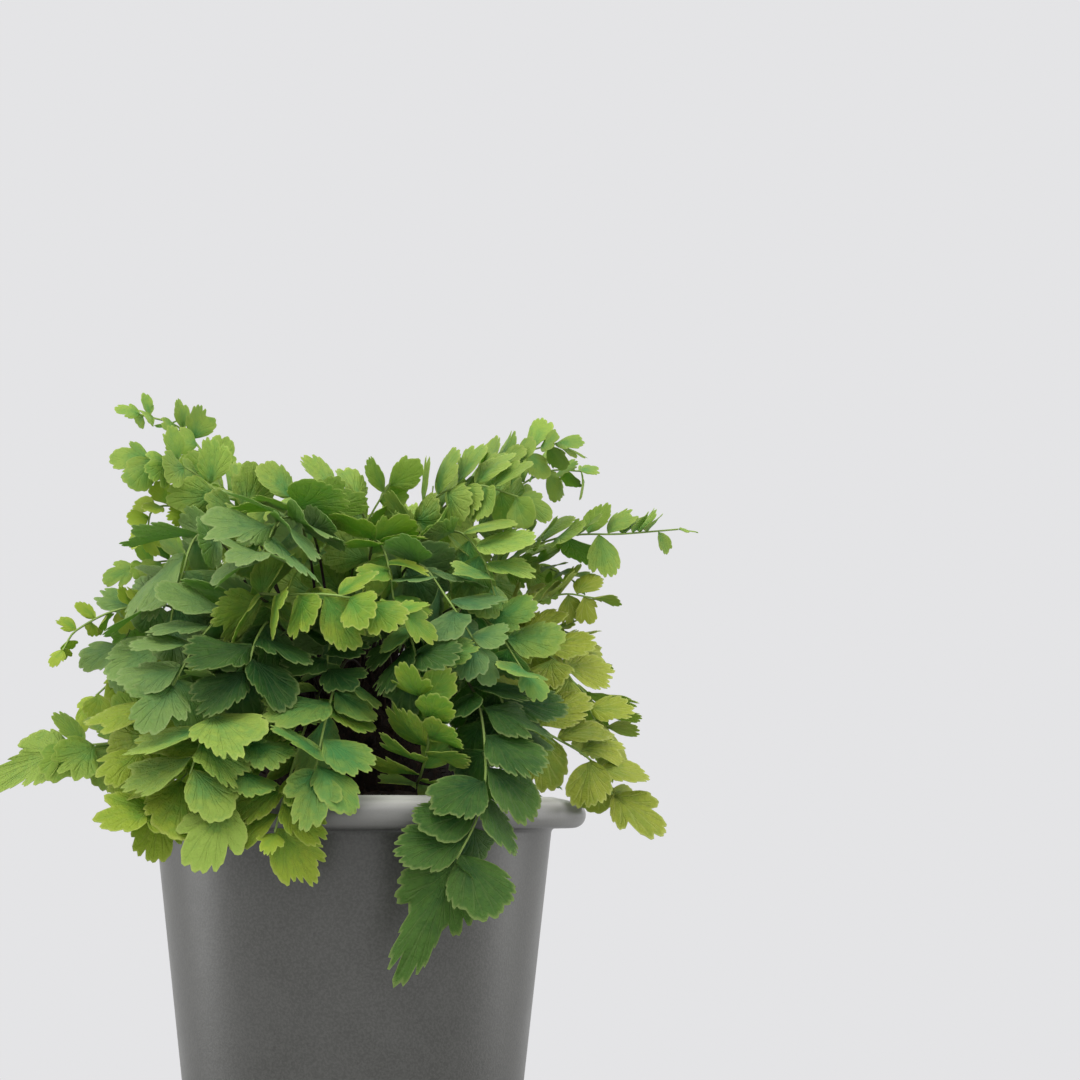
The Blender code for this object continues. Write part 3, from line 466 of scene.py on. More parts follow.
# Each frond: tint, where its stalk stands on the rootstock, places that its midrib passes through, the way
# its blade faces, its longest leaflet, its end leaflet, and the share of its length that is bare stalk
Frond = namedtuple("Frond", "name tint seat path face leaf tip bare")
# The deep tint given to the fronds inside and at the back of the clump is painted shade.
FROND_FACTS = [
    ("small_fresh", "fresh", (15, -20),
     [(15, -33, 8), (16, -45, 11), (17, -53, 18), (15, -57, 27)], (0, -1, 0.25), 12, 10, 0.40),
    ("front_right_hanging", "deep", (12, -15),
     [(21, -32, 36), (28, -47, 29), (30, -58, 12), (28, -62, 0), (23, -64, -10)],
     (0.1, -1, 0.3), 17, 27, 0.38),
    ("front_hanging", "fresh", (-2, -20),
     [(-6, -36, 34), (-11, -53, 22), (-15, -61, 8), (-18, -65, -4)], (-0.1, -1, 0.25), 17, 14, 0.38),
    ("front_left_hanging", "fresh", (-12, -17),
     [(-20, -30, 34), (-30, -46, 21), (-39, -56, 9), (-45, -59, 2)], (-0.2, -1, 0.25), 17, 16, 0.36),
    ("right_hanging", "olive", (20, -9),
     [(27, -14, 24), (38, -21, 25), (50, -25, 19), (59, -26, 13), (64, -25, 5)],
     (0.25, -0.9, 0.45), 15, 14, 0.36),
    ("right_upper_hanging", "olive", (19, -1),
     [(29, -5, 40), (41, -9, 46), (51, -11, 40), (58, -11, 31), (63, -12, 21)],
     (0.3, -0.85, 0.45), 14, 12, 0.42),
    ("right_long", "mid", (15, 6),
     [(24, 8, 48), (38, 7, 66), (54, 5, 74), (72, 3, 75), (86, 1, 76)], (0.05, -0.35, 0.95), 14, 4.5, 0.42),
    ("top_right", "mid", (4, 2),
     [(7, 1, 52), (15, -1, 72), (27, -3, 84), (41, -4, 94), (53, -4, 98)], (-0.05, -0.35, 0.95), 12, 8, 0.40),
    ("top_right_back", "mid", (10, 10),
     [(18, 12, 54), (31, 12, 74), (42, 11, 87), (52, 10, 93), (61, 9, 93)], (-0.1, -0.4, 0.9), 12, 7, 0.45),
    ("top_left", "mid", (-10, 6),
     [(-18, 8, 54), (-31, 9, 77), (-40, 9, 95), (-48, 9, 104), (-58, 8, 107)],
     (0.2, -0.65, 0.65), 11, 6, 0.44),
    ("top_left_front", "mid", (-9, -2),
     [(-17, -3, 50), (-27, -6, 74), (-38, -9, 85), (-46, -12, 90), (-53, -14, 91)],
     (0.1, -0.9, 0.5), 13, 9, 0.45),
    ("over_left", "pale", (-7, -7),
     [(-10, -12, 53), (-13, -26, 70), (-18, -42, 71), (-22, -53, 61)], (-0.1, -0.75, 0.65), 19, 16, 0.48),
    ("left_grey", "pale", (-16, -6),
     [(-25, -13, 52), (-37, -23, 70), (-43, -32, 57), (-46, -38, 36)], (-0.35, -0.9, 0.2), 19, 16, 0.46),
    ("left_young", "fresh", (-20, -4),
     [(-30, -9, 40), (-45, -14, 52), (-58, -17, 52), (-70, -19, 46), (-73, -20, 41)],
     (-0.1, -0.8, 0.6), 6.5, 4.5, 0.62),
    ("left_curled", "fresh", (-14, -3),
     [(-22, -5, 48), (-36, -7, 68), (-44, -8, 78), (-52, -8, 79), (-54, -8, 73)],
     (0.1, -0.9, 0.5), 7, 7, 0.66),
    ("left_low", "mid", (-22, -3),
     [(-31, -7, 29), (-43, -12, 24), (-56, -14, 19), (-72, -15, 17)], (-0.2, -0.8, 0.55), 13, 22, 0.38),
    ("left_low_back", "fresh", (-20, 6),
     [(-30, 8, 36), (-46, 8, 43), (-59, 5, 39), (-68, 3, 31)], (-0.2, -0.8, 0.55), 11, 9, 0.44),
    ("left_shoulder", "mid", (-13, 12),
     [(-22, 14, 48), (-38, 14, 66), (-50, 12, 68), (-59, 10, 66)], (-0.1, -0.75, 0.65), 12, 8, 0.36),
    ("centre_bright", "fresh", (-5, -15),
     [(-13, -28, 47), (-23, -42, 52), (-17, -55, 51), (-3, -61, 50), (11, -61, 46)],
     (0.1, -0.9, 0.45), 15, 9, 0.36),
    ("centre_low", "deep", (-9, -14),
     [(-15, -27, 42), (-20, -42, 46), (-23, -54, 41), (-25, -59, 32)], (-0.05, -0.9, 0.45), 16, 15, 0.36),
    ("front_left", "mid", (-14, -12),
     [(-19, -26, 40), (-27, -43, 36), (-33, -58, 23), (-37, -66, 9)], (-0.2, -1, 0.2), 17, 16, 0.42),
    ("front_middle_left", "mid", (-7, -18),
     [(-11, -30, 38), (-16, -46, 34), (-23, -58, 19), (-29, -65, 3)], (-0.05, -1, 0.2), 16, 16, 0.42),
    ("front_middle", "mid", (1, -19),
     [(-1, -31, 38), (-4, -46, 33), (-7, -58, 21), (-9, -64, 10)], (0.05, -1, 0.2), 16, 14, 0.42),
    ("front_left_outer", "fresh", (-18, -9),
     [(-26, -20, 38), (-36, -32, 35), (-45, -42, 26), (-50, -47, 15)], (-0.3, -1, 0.2), 17, 15, 0.42),
    ("front_left_upper", "pale", (-17, -13),
     [(-23, -25, 46), (-28, -38, 50), (-36, -49, 42), (-42, -55, 30)], (-0.2, -1, 0.3), 16, 15, 0.42),
    ("centre_right", "deep", (7, -17),
     [(8, -27, 42), (10, -40, 46), (13, -51, 41), (15, -57, 31)], (0.1, -1, 0.3), 14, 13, 0.34),
    ("over_right", "pale", (8, -8),
     [(10, -20, 56), (15, -36, 61), (22, -46, 51), (29, -51, 39)], (0.2, -0.85, 0.5), 14, 10, 0.40),
    ("over_middle", "fresh", (2, -9),
     [(3, -14, 54), (4, -27, 67), (7, -40, 63), (9, -46, 51)], (0.1, -0.75, 0.65), 12, 10, 0.38),
    ("crown_left_wide", "mid", (-2, 0),
     [(0, 3, 52), (4, 1, 70), (-1, -3, 82), (-13, -6, 83), (-26, -9, 78)], (0, -0.75, 0.65), 14, 10, 0.36),
    ("crown_right_wide", "mid", (7, 2),
     [(10, 2, 54), (13, -1, 70), (21, -6, 81), (33, -11, 84), (45, -15, 80)],
     (0.05, -0.75, 0.65), 13, 9, 0.38),
    ("crown_left", "mid", (-4, -3),
     [(-7, -5, 54), (-10, -15, 71), (-14, -28, 76), (-18, -39, 68), (-20, -45, 56)],
     (0, -0.75, 0.65), 15, 14, 0.34),
    ("crown_middle", "mid", (-2, 8),
     [(-2, 8, 50), (-1, 8, 65), (3, 6, 78), (9, 2, 88)], (0.1, -0.75, 0.65), 14, 10, 0.34),
    ("crown_right", "mid", (7, -3),
     [(12, -4, 54), (18, -12, 68), (25, -24, 71), (31, -34, 63), (34, -39, 52)],
     (0.2, -0.75, 0.65), 15, 13, 0.36),
    ("middle", "mid", (4, -13),
     [(5, -23, 46), (8, -37, 52), (12, -48, 47), (15, -54, 37)], (0.1, -0.9, 0.45), 14, 12, 0.34),
    ("middle_right", "mid", (11, -10),
     [(16, -20, 44), (25, -33, 51), (33, -42, 45), (40, -46, 34)], (0.2, -0.9, 0.45), 14, 12, 0.36),
    ("right_middle", "olive", (18, 8),
     [(28, 4, 44), (41, 1, 53), (54, -1, 58), (63, -2, 57)], (0.05, -0.3, 0.95), 12, 8, 0.42),
    ("right_dark", "olive", (17, 13),
     [(27, 14, 40), (41, 12, 50), (54, 10, 50), (62, 8, 46)], (0.05, -0.3, 0.95), 13, 8, 0.34),
    ("right_shoulder", "mid", (12, 15),
     [(20, 18, 50), (34, 18, 64), (48, 16, 68), (58, 14, 65)], (0.05, -0.35, 0.95), 15, 8, 0.34),
    ("left_middle", "pale", (-18, 3),
     [(-28, 0, 46), (-42, -6, 59), (-53, -10, 54), (-60, -13, 42)], (-0.4, -0.85, 0.4), 16, 11, 0.38),
    ("inner_right", "deep", (15, -12),
     [(20, -20, 34), (27, -31, 38), (33, -40, 31), (38, -45, 21)], (0.3, -0.8, 0.5), 16, 13, 0.34),
    ("inner_left", "deep", (-11, -8),
     [(-16, -18, 40), (-23, -30, 42), (-31, -38, 36), (-39, -43, 27)], (-0.2, -0.8, 0.5), 15, 13, 0.32),
    ("inner_middle", "deep", (0, -13),
     [(-2, -22, 42), (-4, -34, 46), (-6, -45, 41), (-7, -51, 33)], (0, -0.8, 0.6), 16, 13, 0.32),
    ("back_right", "mid", (9, 19),
     [(14, 28, 44), (25, 42, 58), (35, 58, 51), (41, 68, 38)], (0.2, 0.6, 0.75), 18, 12, 0.20),
    ("back_middle", "mid", (0, 15),
     [(2, 24, 54), (4, 40, 78), (6, 57, 78), (8, 71, 64)], (0, -0.2, 0.95), 18, 12, 0.22),
    ("back_left", "mid", (-9, 19),
     [(-13, 28, 44), (-24, 41, 58), (-34, 57, 50), (-40, 67, 37)], (-0.2, 0.6, 0.75), 18, 12, 0.20),
    ("back_right_hanging", "deep", (17, 18),
     [(25, 28, 32), (41, 41, 34), (49, 52, 20), (51, 58, 8)], (0.6, 0.6, 0.5), 16, 12, 0.32),
    ("back_left_hanging", "mid", (-17, 17),
     [(-25, 26, 32), (-40, 39, 34), (-49, 50, 20), (-51, 56, 8)], (-0.6, 0.6, 0.5), 16, 12, 0.32),
    ("back_hanging", "fresh", (1, 23),
     [(3, 33, 30), (5, 50, 34), (3, 66, 20), (0, 71, 4)], (0, 0.85, 0.5), 18, 13, 0.32),
    ("back_right_low", "olive", (21, 12),
     [(31, 17, 34), (48, 26, 43), (64, 34, 35), (72, 38, 22)], (0.5, 0.3, 0.8), 16, 11, 0.32),
    ("back_left_low", "deep", (-22, 10),
     [(-31, 15, 34), (-46, 23, 45), (-58, 31, 37), (-65, 35, 24)], (-0.5, 0.3, 0.8), 16, 11, 0.32),
    ("back_right_top", "mid", (6, 10),
     [(10, 17, 54), (16, 28, 75), (23, 41, 82), (31, 54, 76)], (0.1, -0.25, 0.95), 14, 9, 0.30),
    ("back_left_top", "mid", (-5, 10),
     [(-9, 17, 54), (-15, 27, 72), (-24, 39, 77), (-34, 51, 71)], (-0.1, -0.25, 0.95), 14, 9, 0.30),
    ("back_inner_left", "deep", (-13, 12),
     [(-17, 19, 38), (-24, 29, 46), (-29, 38, 40), (-33, 45, 28)], (-0.2, 0.85, 0.5), 15, 12, 0.16),
    ("back_inner_right", "deep", (12, 12),
     [(17, 19, 38), (24, 29, 47), (29, 38, 41), (31, 46, 29)], (0.2, 0.85, 0.5), 15, 12, 0.16),
    ("back_inner_middle", "deep", (3, 14),
     [(4, 22, 38), (6, 32, 48), (8, 42, 43), (10, 50, 31)], (0, 0.85, 0.5), 15, 12, 0.16),
    ("back_foot_left", "deep", (-9, 22),
     [(-13, 31, 24), (-20, 43, 30), (-26, 54, 21), (-30, 60, 10)], (-0.3, 0.8, 0.5), 16, 11, 0.30),
    ("back_foot_right", "deep", (9, 22),
     [(13, 31, 24), (20, 43, 30), (26, 54, 21), (30, 60, 10)], (0.3, 0.8, 0.5), 16, 11, 0.30),
]
FRONDS = [Frond(f"frond_{name}", *facts) for name, *facts in FROND_FACTS]


def smooth_line(places):
    """Points about 1 mm apart on a smooth curve through the places."""
    ends = len(places) - 1
    ways = [(places[min(i + 1, ends)] - places[max(i - 1, 0)]).normalized() for i in range(len(places))]
    line = [places[0]]
    for i in range(ends):
        start, end = places[i], places[i + 1]
        reach = 0.36 * (end - start).length
        steps = max(3, round((end - start).length))
        leave, arrive = start + ways[i] * reach, end - ways[i + 1] * reach
        line += interpolate_bezier(start, leave, arrive, end, steps + 1)[1:]
    return line


class Midrib:
    """The line of a frond's stalk and midrib, with its direction and the way its blade faces."""

    def __init__(self, places, face):
        self.line = smooth_line(places)
        last = len(self.line) - 1
        self.reached = [0.0]
        for before, after in zip(self.line, self.line[1:]):
            self.reached.append(self.reached[-1] + (after - before).length)
        self.length = self.reached[-1]
        self.ways = [
            (self.line[min(i + 1, last)] - self.line[max(i - 1, 0)]).normalized() for i in range(last + 1)
        ]
        self.ups = [None] * (last + 1)
        middle = int(0.65 * last)
        self.ups[middle] = self.square_to(middle, face)
        for i in range(middle + 1, last + 1):
            self.ups[i] = self.square_to(i, self.ups[i - 1])
        for i in range(middle - 1, -1, -1):
            self.ups[i] = self.square_to(i, self.ups[i + 1])

    def square_to(self, i, direction):
        way = self.ways[i]
        return (direction - way * direction.dot(way)).normalized()

    def at(self, distance):
        """The point at a distance along the line, the line's direction there and the way the blade faces."""
        i = 0
        while i < len(self.line) - 2 and self.reached[i + 1] < distance:
            i += 1
        share = (distance - self.reached[i]) / (self.reached[i + 1] - self.reached[i])
        point = self.line[i].lerp(self.line[i + 1], share)
        way = self.ways[i].lerp(self.ways[i + 1], share).normalized()
        up = self.ups[i].lerp(self.ups[i + 1], share)
        return point, way, (up - way * up.dot(way)).normalized()


def leaf_size(frond, share):
    """Leaflet length, as a share of the frond's longest, at a share of the way along the leafy part."""
    last = min(0.78, 0.85 * frond.tip / frond.leaf)
    return min(1.0, 0.75 + share) * (1.0 - (1.0 - last) * share**1.8)


def leaf_joints(frond, length):
    """Distances along the stalk where one leaflet's foot ends and the next one's begins."""
    first = frond.bare * length
    joints = [first]
    while joints[-1] < length:
        share = (joints[-1] - first) / (length - first)
        joints.append(joints[-1] + LEAF_SPACING * frond.leaf * leaf_size(frond, share))
    stretch = (length - first) / (joints[-1] - first)
    return [first + (joint - first) * stretch for joint in joints]


Leaf = namedtuple("Leaf", "root out across up length")


def turned_leaf(root, out, across, up, length, droop, twist):
    """A leaflet twisted about its own length and then drooped, in degrees."""
    twist, droop = math.radians(twist), math.radians(droop)
    turned_across = across * math.cos(twist) + up * math.sin(twist)
    across, up = turned_across, up * math.cos(twist) - across * math.sin(twist)
    out, up = out * math.cos(droop) - up * math.sin(droop), up * math.cos(droop) + out * math.sin(droop)
    return Leaf(root, out, across, up, length)


def leaf_loops(leaf, extra=0.0):
    """Loops of four corners across the leaflet, near its foot, at its widest and at its end."""
    loops = []
    for reach, width, sag in ((0.14, 0.62, 0.0), (WIDEST_AT, 1.0, 0.0), (1.0, END_WIDTH, END_SAG)):
        middle = leaf.root + leaf.out * (leaf.length * reach) - leaf.up * (leaf.length * sag)
        half = leaf.across * (0.5 * LEAF_WIDTH * leaf.length * width + extra)
        thick = leaf.up * (0.5 * BLADE_THICKNESS + extra)
        upper = [middle - half + thick, middle + half + thick]
        loops.append(upper + [middle + half - thick, middle - half - thick])
    return loops


def tube_tree(loops):
    """A search tree of the closed tube through loops of four corners, to test what it would run into."""
    corners = [corner for loop in loops for corner in loop]
    sides = [
        (4 * row + i, 4 * row + (i + 1) % 4, 4 * row + 4 + (i + 1) % 4, 4 * row + 4 + i)
        for row in range(len(loops) - 1)
        for i in range(4)
    ]
    last = 4 * (len(loops) - 1)
    return BVHTree.FromPolygons(corners, sides + [(3, 2, 1, 0), (last, last + 1, last + 2, last + 3)])


def stalk_half(midrib, distance):
    return STALK_HALF + (STALK_TIP_HALF - STALK_HALF) * distance / midrib.length


def stalk_loop(midrib, distance, extra=0.0):
    point, way, up = midrib.at(distance)
    half = stalk_half(midrib, distance) + extra
    side = way.cross(up) * half
    up = up * half
    return [point + side + up, point - side + up, point - side - up, point + side - up]


def stalk_tree(midrib, extra=0.0):
    steps = max(8, round(midrib.length / 3.0))
    first = 2.0 * extra / midrib.length
    shares = [first + (1.0 - first) * i / steps for i in range(steps + 1)]
    return tube_tree([stalk_loop(midrib, share * midrib.length, extra) for share in shares])


def seated_midrib(frond, turn, rootstock):
    """The frond's midrib, turned about the pot's axis, with its stalk standing square on the rootstock."""
    spin = Matrix.Rotation(math.radians(turn), 3, "Z")
    above = spin @ Vector((*frond.seat, RIM_LINE + 2 * ROOTSTOCK_TOP))
    seat, square, _, _ = rootstock.ray_cast(above, Vector((0, 0, -1)))
    foot = seat + square * (CLEARANCE + STALK_SPARE)
    path = [spin @ Vector((x, y, RIM_LINE + z)) for x, y, z in frond.path]
    return Midrib([foot, foot + square * STALK_LIFT, *path], Vector(frond.face))


def clear_midribs(rootstock, solids):
    """Every frond's midrib, each turned aside as far as it must be to pass the ones before it."""
    midribs, placed = {}, list(solids)
    for frond in FRONDS:
        for turn in TURN_ASIDE:
            midrib = seated_midrib(frond, turn, rootstock)
            thick = stalk_tree(midrib, 2 * CLEARANCE)
            if not any(thick.overlap(other) for other in placed):
                break
        midribs[frond.name] = midrib
        placed.append(stalk_tree(midrib))
    return midribs, placed


def grow_leaves(frond, midrib, joints, obstacles):
    """The frond's leaflets, from alternate sides, and last its end one; None where one has no room."""
    dice = random.Random(frond.name)
    leaves, trees = [], []
    for i, (start, end) in enumerate(zip(joints, joints[1:])):
        share = (0.5 * (start + end) - joints[0]) / (joints[-1] - joints[0])
        point, way, up = midrib.at(0.5 * (start + end))
        side = way.cross(up) * (1 if i % 2 == 0 else -1)
        length = frond.leaf * leaf_size(frond, share) * dice.uniform(0.86, 1.12)
        forward = math.radians(LEAF_FORWARD + 16.0 * share + dice.uniform(-14, 14))
        out = side * math.cos(forward) + way * math.sin(forward)
        across = way * math.cos(forward) - side * math.sin(forward)
        droop, twist = LEAF_DROOP + dice.uniform(-20, 20), LEAF_TWIST + dice.uniform(-16, 16)
        leaves.append(fitted_leaf((point, out, across, up, length), droop, twist, obstacles + trees))
        if leaves[-1]:
            trees.append(tube_tree(leaf_loops(leaves[-1])))
    point, way, up = midrib.at(midrib.length)
    leaves.append(fitted_leaf((point, way, way.cross(up), up, frond.tip), LEAF_DROOP, 0.0, obstacles + trees))
    if leaves[-1]:
        trees.append(tube_tree(leaf_loops(leaves[-1])))
    return leaves, trees


def fitted_leaf(lie, droop, twist, obstacles):
    """The leaflet in the first of its ways to lie that keeps clear of everything already there."""
    *frame_of_leaf, length = lie
    for more_droop, more_twist, size in GIVE_WAY:
        leaf = turned_leaf(*frame_of_leaf, length * size, droop + more_droop, twist + more_twist)
        thick = tube_tree(leaf_loops(leaf, extra=CLEARANCE + SPARE_ROOM))
        if not any(thick.overlap(other) for other in obstacles):
            return leaf
    return None


# The leaflet: a fan of rows and columns from its foot to its toothed margin. A lobe of the margin is six
# columns wide and carries two round teeth, with a deeper notch either side of it than in its middle. It
# reaches a little past the plain leaflet that it stands for, and only a large one is fully puckered.
LOBE_COLUMNS = 6
TOOTH = (0.0, 0.8, 1.0, 0.6, 1.0, 0.8)
FAN_ROWS = [(0.3, 3), (0.55, 3), (0.78, 1), (0.92, 1), (1.0, 1)]
BLADE = 0.22  # the blade's thickness at its foot
BLADE_REACH = 1.15
FULL_RELIEF = 13.0  # length of a leaflet that shows its whole relief
SHARP_MARGIN = 62.0

# Painted shade: leaflets are painted darker the nearer they lie to the heart of the clump, and yellow-green
# towards its outside
CROWN_HEART = Vector((4.0, -32.0, RIM_LINE + 26.0))
INNERMOST = 28.0
OUTERMOST = 60.0

FanPattern = namedtuple("FanPattern", "reach phase faces border")


def fan_pattern(lobes):
    """Points of a leaflet as shares of the way out and lobe numbers, its faces and its border in order."""
    columns = lobes * LOBE_COLUMNS
    reach, phase, rows = [0.0], [0.5 * lobes], []
    for share, stride in FAN_ROWS:
        rows.append(list(range(len(reach), len(reach) + columns // stride + 1)))
        reach += [share] * (columns // stride + 1)
        phase += [column / LOBE_COLUMNS for column in range(0, columns + 1, stride)]
    faces = [(0, a, b) for a, b in zip(rows[0], rows[0][1:])]
    for near, far in zip(rows, rows[1:]):
        stride = (len(far) - 1) // (len(near) - 1)
        for i in range(len(near) - 1):
            outer = far[i * stride : (i + 1) * stride + 1]
            faces.append((near[i], *outer, near[i + 1]))
    border = [0] + [row[0] for row in rows[:-1]] + rows[-1] + [row[-1] for row in reversed(rows[:-1])]
    return FanPattern(np.array(reach), np.array(phase), faces, border)


FANS = {lobes: fan_pattern(lobes) for lobes in (5, 6, 7, 8, 9, 11, 13)}


def even_line(places):
    """Points of a smooth curve through the places, as two columns of numbers."""
    line = smooth_line([Vector((100.0 * x, 100.0 * y, 0.0)) for x, y in places])
    return np.array([(point.x / 100.0, point.y / 100.0) for point in line])


def mirrored(lower):
    """A whole margin from its lower half, which ends at the leaflet's end."""
    return lower + [(x, -y) for x, y in reversed(lower[:-1])]


# The margin from the foot round the lower edge, the end and the upper edge, as shares of the leaflet's length
LEAF_MARGIN = even_line(
    [(0, -0.01), (0.16, -0.17), (0.40, -0.34), (0.68, -0.38), (0.90, -0.24), (1.0, 0.03)]
    + [(0.94, 0.29), (0.74, 0.46), (0.48, 0.50), (0.24, 0.40), (0.08, 0.17), (0, 0.01)]
)
END_MARGIN = even_line(
    mirrored([(0, -0.01), (0.08, -0.20), (0.30, -0.40), (0.60, -0.42), (0.87, -0.26), (1.0, 0)])
)
LONG_END_MARGIN = even_line(
    mirrored(
        [(0, -0.01), (0.05, -0.20), (0.20, -0.34), (0.40, -0.32), (0.62, -0.20), (0.84, -0.13), (1.0, 0)]
    )
)
LONG_END = 19.0
NOTCH = {"mid": 0.09, "fresh": 0.10, "olive": 0.11, "deep": 0.12, "pale": 0.09}
EXTRA_YOUTH = {"mid": 0.0, "fresh": 0.12, "olive": 0.06, "deep": 0.0, "pale": 0.0}
END_PARTINGS = (0.33, 0.67)
END_PARTING_DEPTH = 0.24
PARTING_WIDTH = 0.04


def along_margin(margin, turn):
    """Points on the margin at shares of its whole length."""
    walked = np.concatenate([[0.0], np.cumsum(np.linalg.norm(np.diff(margin, axis=0), axis=1))])
    walked /= walked[-1]
    return np.stack([np.interp(turn, walked, margin[:, 0]), np.interp(turn, walked, margin[:, 1])], axis=1)


def fade(value, low, high):
    share = np.clip((value - low) / (high - low), 0.0, 1.0)
    return share * share * (3.0 - 2.0 * share)


def leaf_points(fan, lobes, length, notch, dice, is_end):
    """The leaflet's points in its own frame: out, across and up, in millimetres."""
    turn = fan.phase / lobes
    outline = LEAF_MARGIN
    if is_end:
        outline = LONG_END_MARGIN if length > LONG_END else END_MARGIN
    uneven_lobes = 0.022 * np.sin(math.tau * (dice.uniform(1.4, 2.2) * turn + dice.random()))
    margin = along_margin(outline, np.clip(turn + uneven_lobes * np.sin(math.pi * turn), 0.0, 1.0))
    depth = notch * dice.uniform(0.75, 1.25)
    lobe_depths = [dice.uniform(0.3, 1.7) for _ in range(lobes + 1)]
    uneven = np.array([lobe_depths[round(p)] for p in fan.phase])
    toothed = fade(turn, 0.0, 0.14) * (1.0 - fade(turn, 0.88, 1.0))
    tooth = np.array([TOOTH[round(p * LOBE_COLUMNS) % LOBE_COLUMNS] for p in fan.phase])
    margin = margin * (1.0 - depth * uneven * toothed * (1.0 - tooth))[:, None]
    partings = [(at, END_PARTING_DEPTH) for at in END_PARTINGS]
    if not is_end:
        ranges = ((0.26, 0.46), (0.56, 0.76))
        partings = [(dice.uniform(low, high), dice.uniform(0.0, 0.20)) for low, high in ranges]
    for at, parting_depth in partings:
        margin = margin * (1.0 - parting_depth * np.exp(-(((turn - at) / PARTING_WIDTH) ** 2)))[:, None]
    reach = fan.reach
    bend = margin * np.array([0.50, 0.14])
    flat = 2.0 * (reach * (1.0 - reach))[:, None] * bend + (reach**2)[:, None] * margin
    x, y = flat[:, 0], flat[:, 1] * dice.uniform(0.90, 1.08)
    droop, cup = dice.uniform(-0.04, 0.26), dice.uniform(-0.22, 0.34)
    curl, twist = dice.uniform(-0.5, 0.5), dice.uniform(-0.22, 0.22)
    wave, swing = dice.uniform(0.02, 0.065), dice.uniform(0, math.tau)
    pleat = dice.uniform(0.0, 0.0025) * np.cos(math.tau * fan.phase) * reach**1.5
    z = -droop * x * x - cup * y * y + curl * x * y * y + twist * x * y
    z = z + wave * reach**2 * np.sin(math.tau * dice.uniform(1.3, 2.6) * turn + swing) + pleat
    crimp = dice.uniform(0.004, 0.014) * reach**3
    z = z + crimp * np.sin(math.tau * dice.uniform(4.0, 7.0) * turn)
    return BLADE_REACH * length * np.stack([x + 0.03, y, z], axis=1)


def leaf_lobes(length):
    """How many lobes a leaflet of this length has."""
    for limit, lobes in ((4.0, 5), (6.0, 6), (8.0, 7), (10.5, 8), (13.0, 9)):
        if length < limit:
            return lobes
    return 11


class FrondMesh:
    """Collects one frond's points, faces, material numbers and the two shading attributes."""

    def __init__(self):
        self.points, self.faces, self.materials, self.places, self.tones = [], [], [], [], []
        self.count = 0

    def add(self, points, faces, material, places, tones):
        self.points.append(points)
        self.faces += [tuple(self.count + corner for corner in face) for face in faces]
        self.materials += [material] * len(faces)
        self.places.append(places)
        self.tones.append(tones)
        self.count += len(points)

    def add_leaf(self, leaf, notch, extra_youth, dice, is_end):
        lobes = leaf_lobes(leaf.length)
        if is_end:
            lobes = 13 if leaf.length > LONG_END else 9
        fan = FANS[lobes]
        local = leaf_points(fan, lobes, leaf.length, notch, dice, is_end)
        axes = np.array([leaf.out, leaf.across, leaf.up])
        upper = local @ axes + np.array(leaf.root)
        thick = np.array(leaf.up) * BLADE * (1.0 - 0.5 * fan.reach)[:, None]
        number = len(fan.reach)
        flip = leaf.out.cross(leaf.across).dot(leaf.up) < 0
        top = [face[::-1] if flip else face for face in fan.faces]
        under = [tuple(number + corner for corner in face[::-1]) for face in top]
        around = list(zip(fan.border, fan.border[1:] + fan.border[:1]))
        if flip:
            around = [(b, a) for a, b in around]
        side = [(a, a + number, b + number, b) for a, b in around]
        whim = dice.random()
        # Painted shade: the nearer its middle lies to the clump's heart, the darker the leaflet is painted.
        middle = Vector(leaf.root + leaf.out * (0.5 * leaf.length))
        outward = fade((middle - CROWN_HEART).length, INNERMOST, OUTERMOST)
        youth_and_shade = 0.72 * float(outward) + 0.28 * dice.random() + extra_youth
        place = np.stack([fan.phase, fan.reach, np.full(number, whim)], axis=1)
        coarse = min(1.0, leaf.length / FULL_RELIEF) ** 3
        tone = np.stack([np.full(number, coarse), np.zeros(number), np.full(number, youth_and_shade)], axis=1)
        tone_under = tone + np.array([0.0, 1.0, 0.0])
        points, places = np.vstack([upper, upper - thick]), np.vstack([place, place])
        self.add(points, top + under + side, 0, places, np.vstack([tone, tone_under]))

    def add_stalk(self, midrib):
        """The stalk: round below, with a groove along its upper side."""
        steps = max(12, round(midrib.length / 1.5))
        rings, tones = [], []
        for step in range(steps + 1):
            distance = midrib.length * step / steps
            point, way, up = midrib.at(distance)
            half = stalk_half(midrib, distance) * STALK_SLIMMER
            side = way.cross(up)
            for k in range(STALK_SIDES):
                turn = math.tau * k / STALK_SIDES
                groove = GROOVE if k == 2 else 1.0
                rings.append(point + (side * math.cos(turn) + up * math.sin(turn) * groove) * half)
                tones.append((distance / midrib.length, 0.0, 0.5))
        foot = tuple(range(STALK_SIDES))
        faces = [foot, tuple(STALK_SIDES * steps + k for k in reversed(foot))]
        for step in range(steps):
            for k in range(STALK_SIDES):
                a, b = STALK_SIDES * step + k, STALK_SIDES * step + (k + 1) % STALK_SIDES
                faces.append((a, a + STALK_SIDES, b + STALK_SIDES, b))
        points = np.array([list(point) for point in rings])
        self.add(points, faces, 1, np.zeros((len(points), 3)), np.array(tones))

    def piece(self, name, materials):
        mesh = bpy.data.meshes.new(name)
        mesh.from_pydata((np.vstack(self.points) * MM).tolist(), [], self.faces)
        for attribute, rows in (("leaf_place", self.places), ("leaf_tone", self.tones)):
            made = mesh.attributes.new(attribute, "FLOAT_VECTOR", "POINT")
            made.data.foreach_set("vector", np.vstack(rows).astype(np.float32).ravel())
        for material in materials:
            mesh.materials.append(material)
        mesh.polygons.foreach_set("material_index", self.materials)
        mesh.shade_smooth()
        mesh.set_sharp_from_angle(angle=math.radians(SHARP_MARGIN))
        mesh.validate()
        made = bpy.data.objects.new(name, mesh)
        bpy.context.scene.collection.objects.link(made)
        return made


